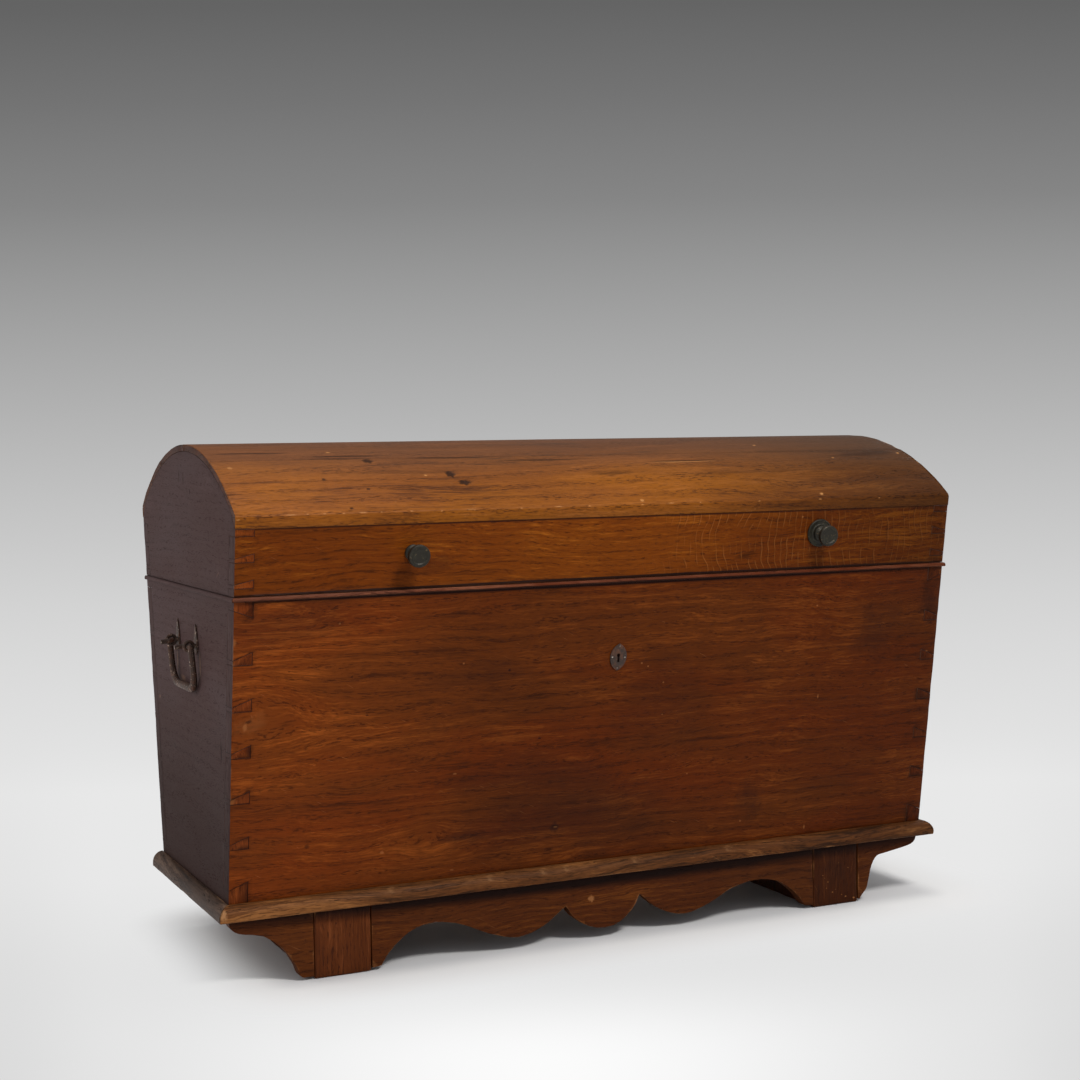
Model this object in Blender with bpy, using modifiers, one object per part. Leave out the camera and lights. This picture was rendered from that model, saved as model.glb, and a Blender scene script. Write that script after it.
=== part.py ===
"""Domed oak chest on runners, built board by board.

The front and back boards lean outward from a narrow foot, the end boards stand
upright, and all four corners of the body and of the lid are through-dovetailed.
Coopered boards close the lid. Units are metres, +Z is up, the front faces -Y,
and the origin is on the floor under the middle of the chest.
"""
import math
from collections import namedtuple

import bmesh
import bpy
from mathutils import Matrix, Vector

# Overall sizes
WIDTH = 1.200               # over the end boards
DEPTH = 0.5285              # over the front and back boards at the lid line
SPLAY = math.radians(8.62)  # lean of the front and back boards from upright
RUNNER_HEIGHT = 0.102       # floor to the underside of the carcase
BODY_HEIGHT = 0.466         # underside of the carcase to the lid line
EAVE_HEIGHT = 0.1127        # lid line to the corner of the eave
DOME_RISE = 0.0996          # eave to the crown of the roof

# Board thicknesses
BOARD = 0.028
BOTTOM_BOARD = 0.020
BOTTOM_BOARD_COUNT = 3
ROOF_BOARD = 0.010          # measured upright
ROOF_BOARD_COUNT = 4
ROOF_EDGE = 0.018           # height of the roof's front edge
ROOF_ARRIS = 0.0025         # rounding of the worn corner at the eave
ROOF_FLATS = 4              # flats under each roof board, which follow the dome

# Clearances
FIT = 0.0003                # between pieces that touch
LID_GAP = 0.0006            # between the rims of the lid and the body

# Dovetails: a pin has a level lower side and a slanting upper side
BODY_PINS = 5
PIN_INNER = 0.018           # height of a pin at the inner face of the end board
PIN_OUTER = 0.007           # height of a pin at the outer face
TOP_HALF_PIN = 0.0295
BOTTOM_HALF_PIN = 0.054
LID_PINS = 2
LID_PIN_INNER = 0.0125
LID_PIN_OUTER = 0.006
LID_FIRST_PIN = 0.011
LID_TOP_HALF_PIN = 0.0107

# Base
RUNNER_WIDTH = 0.088
RUNNER_INSET = 0.170        # end of the front board to the middle of a runner
RUNNER_CHAMFER = 0.003
APRON_THICKNESS = 0.024
APRON_TOE = 0.0045          # gap between the apron's toes and the floor
BRACKET_LENGTH = (0.1255, 0.1190)   # left and right, as each was cut by hand
APRON_TOE_WIDTH = 0.0155
ARCH_HEIGHT = 0.0595        # floor to the top of the two side arches
LOBE_LOW = 0.0160           # floor to the bottom of the middle lobe
BULGE_LOW = 0.0197          # floor to the bottom of the two side lobes
CUSP_HEIGHT = (0.0570, 0.0615)      # floor to the left and right cusps between the lobes
CUSP_REACH = (0.0675, 0.0620)       # chest centre to the left and right cusps
BULGE_REACH = (0.1500, 0.1410)      # chest centre to the bottoms of the side lobes
ARCH_REACH = (0.2840, 0.2750)       # chest centre to the tops of the side arches

# Lower edges of the two brackets, toe to tip, as shares of the bracket's length and height
LEFT_BRACKET_EDGE = (
    (0.139, 0.044), (0.171, 0.074), (0.191, 0.137), (0.226, 0.239), (0.369, 0.501),
    (0.594, 0.711), (0.837, 0.775), (0.932, 0.819), (0.988, 0.887), (1.0, 0.946),
)
RIGHT_BRACKET_EDGE = (
    (0.034, 0.044), (0.076, 0.108), (0.139, 0.176), (0.171, 0.267), (0.219, 0.491),
    (0.277, 0.637), (0.336, 0.713), (0.432, 0.740), (0.766, 0.803), (0.910, 0.840),
    (0.979, 0.897), (1.0, 0.956),
)

# Base moulding and rim bead
MOULDING_HEIGHT = 0.0240
MOULDING_OUT = 0.0175
MOULDING_LIP = 0.0060
BEAD_HEIGHT = 0.0065
BEAD_OUT = 0.0030

# Strap hinges on the back
HINGE_INSET = 0.220         # end of the back board to the middle of a hinge
BARREL_RADIUS = 0.0070
HINGE_PIN_RADIUS = 0.0035
STRAP_THICKNESS = 0.0030
STRAP_WIDTH = 0.0294
STRAP_LENGTH = 0.084
STRAP_SHOULDER = 0.018      # axis to where the strap starts to narrow
STRAP_WAIST = 0.030         # axis to where it is narrowest
LEAF_WIDTH = 0.064
LEAF_LENGTH = 0.165
LEAF_SHOULDER = 0.030
LEAF_WAIST = 0.052
HINGE_END_WIDTH = 0.026     # round ends of both straps
HINGE_NECK_WIDTH = 0.016
HINGE_PIN_HEAD = 0.0052
HINGE_PIN_CAP = 0.0020      # thickness of the pin's riveted heads

# Lock behind the keyhole
KEYHOLE_X = 0.003
KEYHOLE_DROP = 0.1215       # lid line to the middle of the escutcheon
KEYHOLE_RADIUS = 0.0028
KEYHOLE_SLOT = 0.0036
KEYHOLE_LENGTH = 0.0140
ESCUTCHEON_WIDTH = 0.028
ESCUTCHEON_HEIGHT = 0.042
ESCUTCHEON_THICKNESS = 0.002
ESCUTCHEON_TILT = math.radians(5.0)
LOCK_PLATE_THICKNESS = 0.0025
LOCK_PLATE_WIDTH = 0.124
LOCK_PLATE_BELOW = 0.030    # plate below the keyhole
LOCK_CASE_WALL = 0.0018
LOCK_CASE_DEPTH = 0.0320
LOCK_CASE_MARGIN = 0.010    # plate showing round the case
LOCK_TOP = 0.0020           # lid line to the top of the lock plate
BOLT_THICKNESS = 0.0060
BOLT_HEIGHT = 0.0100
BOLT_THROW = 0.0140
BOLT_DROP = 0.0250          # lid line to the middle of the bolt
BOLT_WEB = 0.0040           # metal left beside the bolt's slots
BOLT_WALL_GAP = 0.0014      # case wall to the drawn bolt
BOLT_NOSE_GAP = 0.0020      # staple to the drawn bolt
TALON = 0.0080              # width of the notch that the key turns in
TALON_RISE = 0.0170         # middle of the keyhole to the bolt's foot
POST_RADIUS = 0.0025
POST_SPACING = 0.0380
POST_BELOW = 0.0160         # underside of the bolt's head to the upper post
COLLAR_RADIUS = 0.0045
STAPLE_THICKNESS = 0.0080
STAPLE_BAR = 0.0045
STAPLE_CLEAR = 0.0015       # round the staple and between it and the bolt
STAPLE_SHOULDER = 0.0160    # lid line to the top of the staple's tongue
STAPLE_PLATE_WIDTH = 0.060
STAPLE_PLATE_HEIGHT = 0.052
STAPLE_PLATE_THICKNESS = 0.003
STAPLE_PLATE_GAP = 0.0036   # lid line to the staple's plate

# Turned knobs on the lid
KNOB_INSET = (0.2610, 0.2485)       # ends of the lid to the left and right knobs
KNOB_RISE = (0.0527, 0.0574)        # lid line to the middles of the left and right knobs
KNOB_RADIUS = 0.0165
KNOB_CAP = 0.0085           # thickness of the knob's cap
KNOB_LENGTH = 0.0300        # out from the lid board
KNOB_NECK_RADIUS = 0.0060
KNOB_COLLAR_RADIUS = 0.0120
KNOB_SHANK_RADIUS = 0.0040
KNOB_ROSE_RADIUS = 0.0223
KNOB_ROSE_THICKNESS = 0.0035
KNOB_NUT_RADIUS = 0.0105
KNOB_NUT_THICKNESS = 0.0060

# Bail handles on the ends
BAIL_DROP = 0.0865          # lid line down to the pivots
BAIL_SPREAD = 0.130         # between the middles of the legs
BAIL_LENGTH = 0.065         # pivot to the middle of the grip
BAIL_CORNER = 0.027
BAIL_RADIUS = 0.0048
BAIL_GRIP_SWELL = 1.25
BAIL_END_RADIUS = 0.0038
BAIL_BEND = 0.0065
BAIL_TIP = 0.0190           # pivot to the ends of the bar, which stand out
EYE_SPREAD = 0.108
EYE_WIRE = 0.0026
EYE_CLEARANCE = 0.0005
EYE_SHANK_RADIUS = 0.0030
EYE_CLENCH = 0.0180
ROSE_WIDTH = 0.0200
ROSE_ABOVE = 0.0325
ROSE_BELOW = 0.0120
ROSE_THICKNESS = 0.0018

# Places worked out from the sizes above
SLOPE = math.tan(SPLAY)
CARCASE_BOTTOM = RUNNER_HEIGHT + FIT
LID_LINE = RUNNER_HEIGHT + BODY_HEIGHT
BODY_TOP = LID_LINE - LID_GAP / 2
LID_BOTTOM = LID_LINE + LID_GAP / 2
EAVE = LID_LINE + EAVE_HEIGHT
LEVEL_BOARD = BOARD / math.cos(SPLAY)   # a leaning board measured level
HALF_WIDTH = WIDTH / 2
RUNNER_REACH = HALF_WIDTH - RUNNER_INSET
HINGE_REACH = HALF_WIDTH - HINGE_INSET

Pin = namedtuple("Pin", "low_outer low_inner high_outer high_inner open_below open_above")
Finish = namedtuple("Finish", "colour roughness metallic")

OAK_ROOF = Finish((0.34, 0.16, 0.05), 0.42, 0.0)
OAK_FRONT = Finish((0.24, 0.10, 0.035), 0.45, 0.0)
OAK_END = Finish((0.07, 0.042, 0.035), 0.5, 0.0)
OAK_BASE = Finish((0.27, 0.13, 0.05), 0.55, 0.0)
OAK_MOULDING = Finish((0.33, 0.20, 0.11), 0.6, 0.0)
OAK_BARE = Finish((0.30, 0.20, 0.11), 0.8, 0.0)
IRON = Finish((0.06, 0.052, 0.048), 0.5, 0.9)
BRIGHT_IRON = Finish((0.22, 0.20, 0.18), 0.4, 1.0)
BRONZE = Finish((0.16, 0.12, 0.08), 0.32, 1.0)


# Scene helpers

def clear_scene():
    """Remove whatever the open file holds."""
    for thing in list(bpy.data.objects):
        bpy.data.objects.remove(thing, do_unlink=True)


def new_collection(name):
    """Return a new collection linked to the scene."""
    collection = bpy.data.collections.new(name)
    bpy.context.scene.collection.children.link(collection)
    return collection


clear_scene()
PARTS = new_collection("shipping_chest")
CUTTERS = new_collection("cutters")


def dress(thing, finish):
    """Give an object a material of its own in the finish's colour."""
    material = bpy.data.materials.new(thing.name + "_finish")
    material.use_nodes = True
    shader = material.node_tree.nodes["Principled BSDF"]
    shader.inputs["Base Color"].default_value = (*finish.colour, 1.0)
    shader.inputs["Roughness"].default_value = finish.roughness
    shader.inputs["Metallic"].default_value = finish.metallic
    material.diffuse_color = (*finish.colour, 1.0)
    thing.data.materials.clear()
    thing.data.materials.append(material)


def add_mesh(name, bm, finish=None, collection=None):
    """Turn a bmesh into an object with its faces pointing out."""
    bmesh.ops.recalc_face_normals(bm, faces=bm.faces)
    mesh = bpy.data.meshes.new(name)
    bm.to_mesh(mesh)
    bm.free()
    thing = bpy.data.objects.new(name, mesh)
    (collection or PARTS).objects.link(thing)
    if finish:
        dress(thing, finish)
    return thing


def add_cutter(name, bm):
    """Turn a bmesh into a cutter, which no render shows."""
    cutter = add_mesh(name, bm, collection=CUTTERS)
    cutter.hide_render = True
    cutter.display_type = "WIRE"
    return cutter


def smooth(thing, angle=35.0):
    """Shade round faces smooth and keep the edges sharper than the angle."""
    thing.data.shade_smooth()
    thing.data.set_sharp_from_angle(angle=math.radians(angle))


def carve(thing, cutter, operation="DIFFERENCE"):
    """Cut an object with another, or join the other to it."""
    step = thing.modifiers.new(operation.lower() + "_" + cutter.name, "BOOLEAN")
    step.operation = operation
    step.object = cutter
    step.solver = "EXACT"


def add_axis(name, place):
    """Add the empty that a moving piece turns or slides on."""
    axis = bpy.data.objects.new(name, None)
    axis.location = place
    axis.empty_display_size = 0.05
    PARTS.objects.link(axis)
    bpy.context.view_layer.update()
    return axis


def hang(thing, axis):
    """Parent a piece to an axis and leave it where it is."""
    bpy.context.view_layer.update()
    thing.parent = axis
    thing.matrix_parent_inverse = axis.matrix_world.inverted()


# Shape helpers

def loft(first, second):
    """Return a bmesh closed between two rings of as many points."""
    bm = bmesh.new()
    ring_a = [bm.verts.new(point) for point in first]
    ring_b = [bm.verts.new(point) for point in second]
    bm.faces.new(ring_a)
    bm.faces.new(reversed(ring_b))
    for k in range(len(ring_a)):
        n = (k + 1) % len(ring_a)
        bm.faces.new((ring_a[n], ring_a[k], ring_b[k], ring_b[n]))
    return bm


def prism(outline, start, end):
    """Extrude an outline of (y, z) points along X from start to end."""
    bm = bmesh.new()
    face = bm.faces.new([bm.verts.new((start, y, z)) for y, z in outline])
    grown = bmesh.ops.extrude_face_region(bm, geom=[face])["geom"]
    moved = [item for item in grown if isinstance(item, bmesh.types.BMVert)]
    bmesh.ops.translate(bm, verts=moved, vec=(end - start, 0, 0))
    return bm


def block(low, high):
    """Return a box between two opposite corners."""
    size = Vector(high) - Vector(low)
    middle = (Vector(high) + Vector(low)) / 2
    place = Matrix.Translation(middle) @ Matrix.Diagonal((*size, 1.0))
    bm = bmesh.new()
    bmesh.ops.create_cube(bm, size=1.0, matrix=place)
    return bm


def rod(start, end, radius, sides=24):
    """Return a cylinder between two points."""
    start = Vector(start)
    end = Vector(end)
    turn = (end - start).to_track_quat("Z", "Y").to_matrix().to_4x4()
    place = Matrix.Translation((start + end) / 2) @ turn
    bm = bmesh.new()
    bmesh.ops.create_cone(
        bm, cap_ends=True, segments=sides, radius1=radius, radius2=radius,
        depth=(end - start).length, matrix=place,
    )
    return bm


def arc(centre, radius, start, end, steps):
    """Return points of an arc, with angles in degrees from the first axis."""
    points = []
    for k in range(steps + 1):
        angle = math.radians(start + (end - start) * k / steps)
        points.append((centre[0] + radius * math.cos(angle), centre[1] + radius * math.sin(angle)))
    return points


def flowing(points, steps):
    """Return a smooth run of points through a few, as a Catmull-Rom curve."""
    path = [Vector(point) for point in points]
    path = [path[0] * 2 - path[1]] + path + [path[-1] * 2 - path[-2]]
    run = []
    for k in range(1, len(path) - 2):
        a, b, c, d = path[k - 1:k + 3]
        for j in range(steps):
            t = j / steps
            run.append(0.5 * (2 * b + (c - a) * t + (2 * a - 5 * b + 4 * c - d) * t ** 2
                              + (3 * b - a - 3 * c + d) * t ** 3))
    return run + [path[-2]]


def flat_piece(name, outline, thickness, finish=None):
    """Add a flat outline in XZ as a filled 2D curve, thickened about its plane."""
    curve = bpy.data.curves.new(name, "CURVE")
    curve.dimensions = "2D"
    curve.fill_mode = "BOTH"
    curve.extrude = thickness / 2
    spline = curve.splines.new("POLY")
    spline.points.add(len(outline) - 1)
    for point, (x, z) in zip(spline.points, outline):
        point.co = (x, z, 0, 1)
    spline.use_cyclic_u = True
    thing = bpy.data.objects.new(name, curve)
    thing.rotation_euler = (math.radians(90), 0, 0)
    PARTS.objects.link(thing)
    if finish:
        dress(thing, finish)
    return thing


def as_mesh(thing, finish=None):
    """Replace a curve object by the welded mesh that it makes."""
    bpy.context.view_layer.update()
    graph = bpy.context.evaluated_depsgraph_get()
    mesh = bpy.data.meshes.new_from_object(thing.evaluated_get(graph))
    bm = bmesh.new()
    bm.from_mesh(mesh)
    bmesh.ops.remove_doubles(bm, verts=bm.verts, dist=0.00001)
    bmesh.ops.recalc_face_normals(bm, faces=bm.faces)
    bm.to_mesh(mesh)
    bm.free()
    name = thing.name
    place = thing.matrix_world.copy()
    bpy.data.objects.remove(thing, do_unlink=True)
    solid = bpy.data.objects.new(name, mesh)
    solid.matrix_world = place
    PARTS.objects.link(solid)
    if finish:
        dress(solid, finish)
    return solid


def to_cutters(thing):
    """Move a helper solid to the cutters, which no render shows."""
    PARTS.objects.unlink(thing)
    CUTTERS.objects.link(thing)
    thing.hide_render = True
    thing.display_type = "WIRE"
    return thing


# The leaning planes

def half_depth(height):
    """Return the distance from the middle to the outer faces at a height."""
    return DEPTH / 2 + (height - LID_LINE) * SLOPE


def inner_half_depth(height):
    """Return the distance from the middle to the inner faces at a height."""
    return half_depth(height) - LEVEL_BOARD


def front_frame(inside, height=LID_LINE, x=0.0):
    """Return the place on the front's outer or inner face: Z up it, Y inward."""
    reach = inner_half_depth(height) if inside else half_depth(height)
    return Matrix.Translation((x, -reach, height)) @ Matrix.Rotation(SPLAY, 4, "X")


def back_frame(x):
    """Return the place on the back's outer face at the lid line: Z up it, Y out."""
    place = Matrix.Translation((x, half_depth(LID_LINE), LID_LINE))
    return place @ Matrix.Rotation(-SPLAY, 4, "X")


# The roof's section

HALF_EAVE = half_depth(EAVE)
ROOF_RADIUS = (HALF_EAVE ** 2 + DOME_RISE ** 2) / (2 * DOME_RISE)
ROOF_CENTRE = EAVE + DOME_RISE - ROOF_RADIUS
ROOF_ANGLE = math.degrees(math.asin(HALF_EAVE / ROOF_RADIUS))
ROOF_STEP = 2 * ROOF_ANGLE / ROOF_BOARD_COUNT
EDGE_BOTTOM = EAVE - ROOF_EDGE


def roof_point(angle, radius):
    """Return (y, z) at an angle from the crown, positive to the back."""
    turn = math.radians(angle)
    return (radius * math.sin(turn), ROOF_CENTRE + radius * math.cos(turn))


def under_radius(angle):
    """Return the distance from the roof's centre to its underside, the same arc lowered."""
    turn = math.radians(angle)
    return math.sqrt(ROOF_RADIUS ** 2 - (ROOF_BOARD * math.sin(turn)) ** 2) - ROOF_BOARD * math.cos(turn)


# The hollowed underside stops just inside the lid's front and back boards
UNDER_REACH = math.degrees(math.asin((inner_half_depth(EAVE) - 2 * FIT) / (ROOF_RADIUS - ROOF_BOARD)))


def under_angles(index):
    """Return the angles of the corners under one roof board, front to back."""
    start = max(-ROOF_ANGLE + index * ROOF_STEP, -UNDER_REACH)
    end = min(-ROOF_ANGLE + (index + 1) * ROOF_STEP, UNDER_REACH)
    return [start + (end - start) * k / ROOF_FLATS for k in range(ROOF_FLATS + 1)]


def roof_underside(drop=0.0):
    """Return the flats under the whole roof as (y, z) points, front to back."""
    points = [(-half_depth(EDGE_BOTTOM), EDGE_BOTTOM - drop)]
    for index in range(ROOF_BOARD_COUNT):
        final = index == ROOF_BOARD_COUNT - 1
        for angle in under_angles(index)[:None if final else -1]:
            y, z = roof_point(angle, under_radius(angle))
            points.append((y, z - drop))
    points.append((half_depth(EDGE_BOTTOM), EDGE_BOTTOM - drop))
    return points


UNDER_ROOF = FIT / math.cos(math.radians(ROOF_ANGLE))   # the same gap measured upright


def under_roof_height(y):
    """Return the height just under the roof at a distance from the middle."""
    points = roof_underside(UNDER_ROOF)
    for (y0, z0), (y1, z1) in zip(points, points[1:]):
        if y0 <= y <= y1:
            return z0 + (z1 - z0) * (y - y0) / (y1 - y0)
    return points[0][1] + (abs(y) - abs(points[0][0])) * (points[0][1] - points[1][1]) \
        / (abs(points[0][0]) - abs(points[1][0]))


# Dovetails

def body_pins():
    """Return the pins of one corner of the body, from the bottom up."""
    slant = PIN_INNER - PIN_OUTER
    room = BODY_TOP - TOP_HALF_PIN - (CARCASE_BOTTOM + BOTTOM_HALF_PIN - PIN_INNER)
    pitch = room / (BODY_PINS + 1)
    bottom_top = CARCASE_BOTTOM + BOTTOM_HALF_PIN
    pins = [Pin(CARCASE_BOTTOM, CARCASE_BOTTOM, bottom_top - slant, bottom_top, True, False)]
    for k in range(BODY_PINS, 0, -1):
        low = BODY_TOP - TOP_HALF_PIN - k * pitch
        pins.append(Pin(low, low, low + PIN_OUTER, low + PIN_INNER, False, False))
    low = BODY_TOP - TOP_HALF_PIN
    pins.append(Pin(low + slant, low, BODY_TOP, BODY_TOP, False, True))
    return pins


def lid_pins():
    """Return the pins of one corner of the lid, from the bottom up."""
    first = LID_BOTTOM + LID_FIRST_PIN
    last = EDGE_BOTTOM - LID_TOP_HALF_PIN
    pitch = (last - first) / LID_PINS
    pins = []
    for k in range(LID_PINS):
        low = first + k * pitch
        pins.append(Pin(low, low, low + LID_PIN_OUTER, low + LID_PIN_INNER, False, False))
    pins.append(Pin(last, last, EDGE_BOTTOM, EDGE_BOTTOM, False, True))
    return pins


def tail_edge(pins, bottom):
    """Return (x, z) points up the right-hand end of a board cut with tails."""
    base = HALF_WIDTH - BOARD - FIT
    points = [] if pins[0].open_below else [(HALF_WIDTH, bottom)]
    for pin in pins:
        if pin.open_below:
            points.append((base, bottom))
        else:
            points.append((HALF_WIDTH, pin.low_outer))
            points.append((base, pin.low_inner))
        if not pin.open_above:
            points.append((base, pin.high_inner))
            points.append((HALF_WIDTH, pin.high_outer))
    return points


def tail_board(name, side, pins, bottom, top_outer, top_inner, finish):
    """Add a front (side -1) or back (side 1) board with tails at both ends."""
    edge = tail_edge(pins, bottom)
    last = edge[-1][0]
    rings = []
    for reach, top in ((half_depth, top_outer), (inner_half_depth, top_inner)):
        right = edge + [(last, top)]
        left = [(-x, z) for x, z in reversed(right)]
        rings.append([(x, side * reach(z), z) for x, z in right + left])
    return add_mesh(name, loft(*rings), finish)


def pin_edge(pins, outer, bottom, top):
    """Return (y, z) points up the front edge of an end board cut with pins."""
    def root(z):
        return (-(inner_half_depth(z) - FIT), z)

    def tip(z):
        return (-half_depth(z), z)

    points = []
    if not pins[0].open_below:
        points.append(root(bottom))
    for pin in pins:
        low = pin.low_outer if outer else pin.low_inner
        high = pin.high_outer if outer else pin.high_inner
        if pin.open_below:
            points.append(tip(bottom))
        else:
            points += [root(low + FIT), tip(low + FIT)]
        if pin.open_above:
            points.append(tip(top))
        else:
            points += [tip(high - FIT), root(high - FIT)]
    return points


def pin_board(name, side, pins, bottom, top, crown, finish):
    """Add a left (side -1) or right (side 1) end board, its top edge under crown."""
    rings = []
    for outer in (True, False):
        front = pin_edge(pins, outer, bottom, top)
        back = [(-y, z) for y, z in reversed(front)]
        x = side * (HALF_WIDTH if outer else HALF_WIDTH - BOARD)
        rings.append([(x, y, z) for y, z in front + crown + back])
    return add_mesh(name, loft(*rings), finish)


# Base

def strip_profile(bottom, height, out, lip, steps):
    """Return (out, z) points of a strip's rounded face, from the top down."""
    points = []
    for k in range(steps + 1):
        turn = math.radians(90) * k / steps
        points.append((out * math.sin(turn), bottom + lip + (height - lip) * math.cos(turn)))
    corner = min(lip, out) * 0.4
    points += arc((out - corner, bottom + corner), corner, 0, -90, 3)
    return points


def mitred_strips(stem, profile, finish):
    """Add a strip round the front and both ends, mitred at the front corners."""
    top = profile[0][1]
    bottom = profile[-1][1]
    reach = half_depth(top)
    heel = [(-(reach - half_depth(z)), z) for z in (bottom, top - FIT)]
    rings = []
    for side in (-1, 1):
        ring = []
        for out, z in profile[1:] + heel:
            away = out + (FIT if out > 0 else 0)
            inset = FIT if out <= 0 else 0
            x = side * (HALF_WIDTH + out - FIT)
            ring.append((x, -(reach + away + inset), z))
        rings.append(ring)
    add_mesh("front_" + stem, loft(*rings), finish)
    for side, word in ((-1, "left"), (1, "right")):
        front = []
        back = []
        for out, z in profile[1:] + [(0.0, bottom), (0.0, top - FIT)]:
            x = side * (HALF_WIDTH + FIT + out)
            front.append((x, -(reach + out - FIT), z))
            back.append((x, half_depth(z), z))
        add_mesh(word + "_" + stem, loft(front, back), finish)


def between(start, end, across, up):
    """Return the point at a share of the way across and up from start to end."""
    return (start[0] + (end[0] - start[0]) * across, start[1] + (end[1] - start[1]) * up)


def lobe_half(hand):
    """Return half of the middle lobe's edge, from its bottom to the cusp."""
    reach = CUSP_REACH[hand]
    drop = CUSP_HEIGHT[hand] - LOBE_LOW
    radius = (reach ** 2 + drop ** 2) / (2 * drop)
    spread = math.degrees(math.asin(reach / radius))
    return arc((0, LOBE_LOW + radius), radius, 270, 270 + spread, 6)


def scallop_half(hand, end):
    """Return the apron's lower edge past one cusp, out to its end."""
    cusp = (CUSP_REACH[hand], CUSP_HEIGHT[hand])
    bulge = (BULGE_REACH[hand], BULGE_LOW)
    arch = (ARCH_REACH[hand], ARCH_HEIGHT)
    toe = (end - APRON_TOE_WIDTH, APRON_TOE + 0.001)
    half = [
        cusp,
        between(cusp, bulge, 0.45, 0.67),
        bulge,
        between(bulge, arch, 0.36, 0.31),
        between(bulge, arch, 0.67, 0.77),
        arch,
        between(arch, toe, 0.44, 0.13),
        between(arch, toe, 0.79, 0.55),
        toe,
    ]
    return [tuple(point) for point in flowing(half, 4)][1:] + [(end, APRON_TOE)]


def apron_outline():
    """Return the apron's outline in XZ, scalloped along its lower edge."""
    end = RUNNER_REACH - RUNNER_WIDTH / 2 - FIT
    left = lobe_half(0)[1:] + scallop_half(0, end)
    right = lobe_half(1) + scallop_half(1, end)
    return [(-x, z) for x, z in reversed(left)] + right + [(end, RUNNER_HEIGHT), (-end, RUNNER_HEIGHT)]


def bracket_outline(side):
    """Return a wing bracket's outline in XZ, hollowed from its toe to its tip."""
    heel = RUNNER_REACH + RUNNER_WIDTH / 2 + FIT
    length = BRACKET_LENGTH[side > 0]
    edge = RIGHT_BRACKET_EDGE if side > 0 else LEFT_BRACKET_EDGE
    hollow = flowing([(heel + length * out, RUNNER_HEIGHT * up) for out, up in edge], 2)
    points = [(heel, APRON_TOE)] + [tuple(point) for point in hollow]
    points += [(heel + length, RUNNER_HEIGHT), (heel, RUNNER_HEIGHT)]
    return [(side * x, z) for x, z in points]


def build_base():
    """Add the runners, the scalloped apron, its wings and the base moulding."""
    face = half_depth(RUNNER_HEIGHT + MOULDING_HEIGHT)
    middle = face - APRON_THICKNESS / 2
    for side, word in ((-1, "left"), (1, "right")):
        x = side * RUNNER_REACH
        low = (x - RUNNER_WIDTH / 2, -face, 0)
        high = (x + RUNNER_WIDTH / 2, half_depth(CARCASE_BOTTOM), RUNNER_HEIGHT)
        runner = add_mesh(word + "_runner", block(low, high), OAK_BASE)
        edges = runner.modifiers.new("worn_edges", "BEVEL")
        edges.width = RUNNER_CHAMFER
        edges.segments = 2
        bracket = flat_piece(word + "_bracket", bracket_outline(side), APRON_THICKNESS, OAK_BASE)
        bracket.location = (0, -middle, 0)
    apron = flat_piece("front_apron", apron_outline(), APRON_THICKNESS, OAK_BASE)
    apron.location = (0, -middle, 0)
    profile = strip_profile(RUNNER_HEIGHT, MOULDING_HEIGHT, MOULDING_OUT, MOULDING_LIP, 8)
    mitred_strips("moulding", profile, OAK_MOULDING)


# Body

def build_bottom():
    """Add the bottom boards, side by side between the walls."""
    low = CARCASE_BOTTOM
    high = CARCASE_BOTTOM + BOTTOM_BOARD
    reach = HALF_WIDTH - BOARD - FIT
    share = 2 * (inner_half_depth(low) - FIT) / BOTTOM_BOARD_COUNT
    for k in range(BOTTOM_BOARD_COUNT):
        outline = []
        for z, order in ((low, (k, k + 1)), (high, (k + 1, k))):
            edge = inner_half_depth(z) - FIT
            for j in order:
                y = -(inner_half_depth(low) - FIT) + j * share
                if j == 0:
                    y = -edge
                elif j == BOTTOM_BOARD_COUNT:
                    y = edge
                else:
                    y += FIT / 2 if j == k else -FIT / 2
                outline.append((y, z))
        name = "bottom_board_" + str(k + 1)
        add_mesh(name, prism(outline, -reach, reach), OAK_BARE)


def keyhole_cutter():
    """Return the cutter for the keyhole, level through the front board."""
    z = LID_LINE - KEYHOLE_DROP + KEYHOLE_LENGTH / 5
    half = KEYHOLE_SLOT / 2
    dip = math.degrees(math.asin(half / KEYHOLE_RADIUS))
    outline = arc((KEYHOLE_X, z), KEYHOLE_RADIUS, -90 + dip, 270 - dip, 20)
    foot = z + KEYHOLE_RADIUS - KEYHOLE_LENGTH
    outline += [(KEYHOLE_X - half, foot), (KEYHOLE_X + half, foot)]
    span = 0.070
    cutter = as_mesh(flat_piece("keyhole_cutter", outline, span))
    height = LID_LINE - KEYHOLE_DROP
    cutter.location.y = -(half_depth(height) + inner_half_depth(height)) / 2
    return to_cutters(cutter)


def build_body(keyhole):
    """Add the four walls with their dovetails and the bead round the rim."""
    pins = body_pins()
    for side, word in ((-1, "front"), (1, "back")):
        board = tail_board(word + "_board", side, pins, CARCASE_BOTTOM, BODY_TOP, BODY_TOP, OAK_FRONT)
        if side < 0:
            carve(board, keyhole)
    for side, word in ((-1, "left"), (1, "right")):
        board = pin_board(word + "_end_board", side, pins, CARCASE_BOTTOM, BODY_TOP, [], OAK_END)
        for reach, tag in ((-1, "front"), (1, "back")):
            y = reach * EYE_SPREAD / 2
            z = LID_LINE - BAIL_DROP
            hole = rod(
                (side * (HALF_WIDTH + 0.01), y, z), (side * (HALF_WIDTH - BOARD - 0.01), y, z),
                EYE_SHANK_RADIUS + FIT, 16,
            )
            carve(board, add_cutter("_".join((word, tag, "eye_hole")), hole))
    profile = strip_profile(BODY_TOP - BEAD_HEIGHT, BEAD_HEIGHT, BEAD_OUT, BEAD_HEIGHT * 0.45, 4)
    mitred_strips("bead", profile, OAK_FRONT)


# Lid

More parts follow.
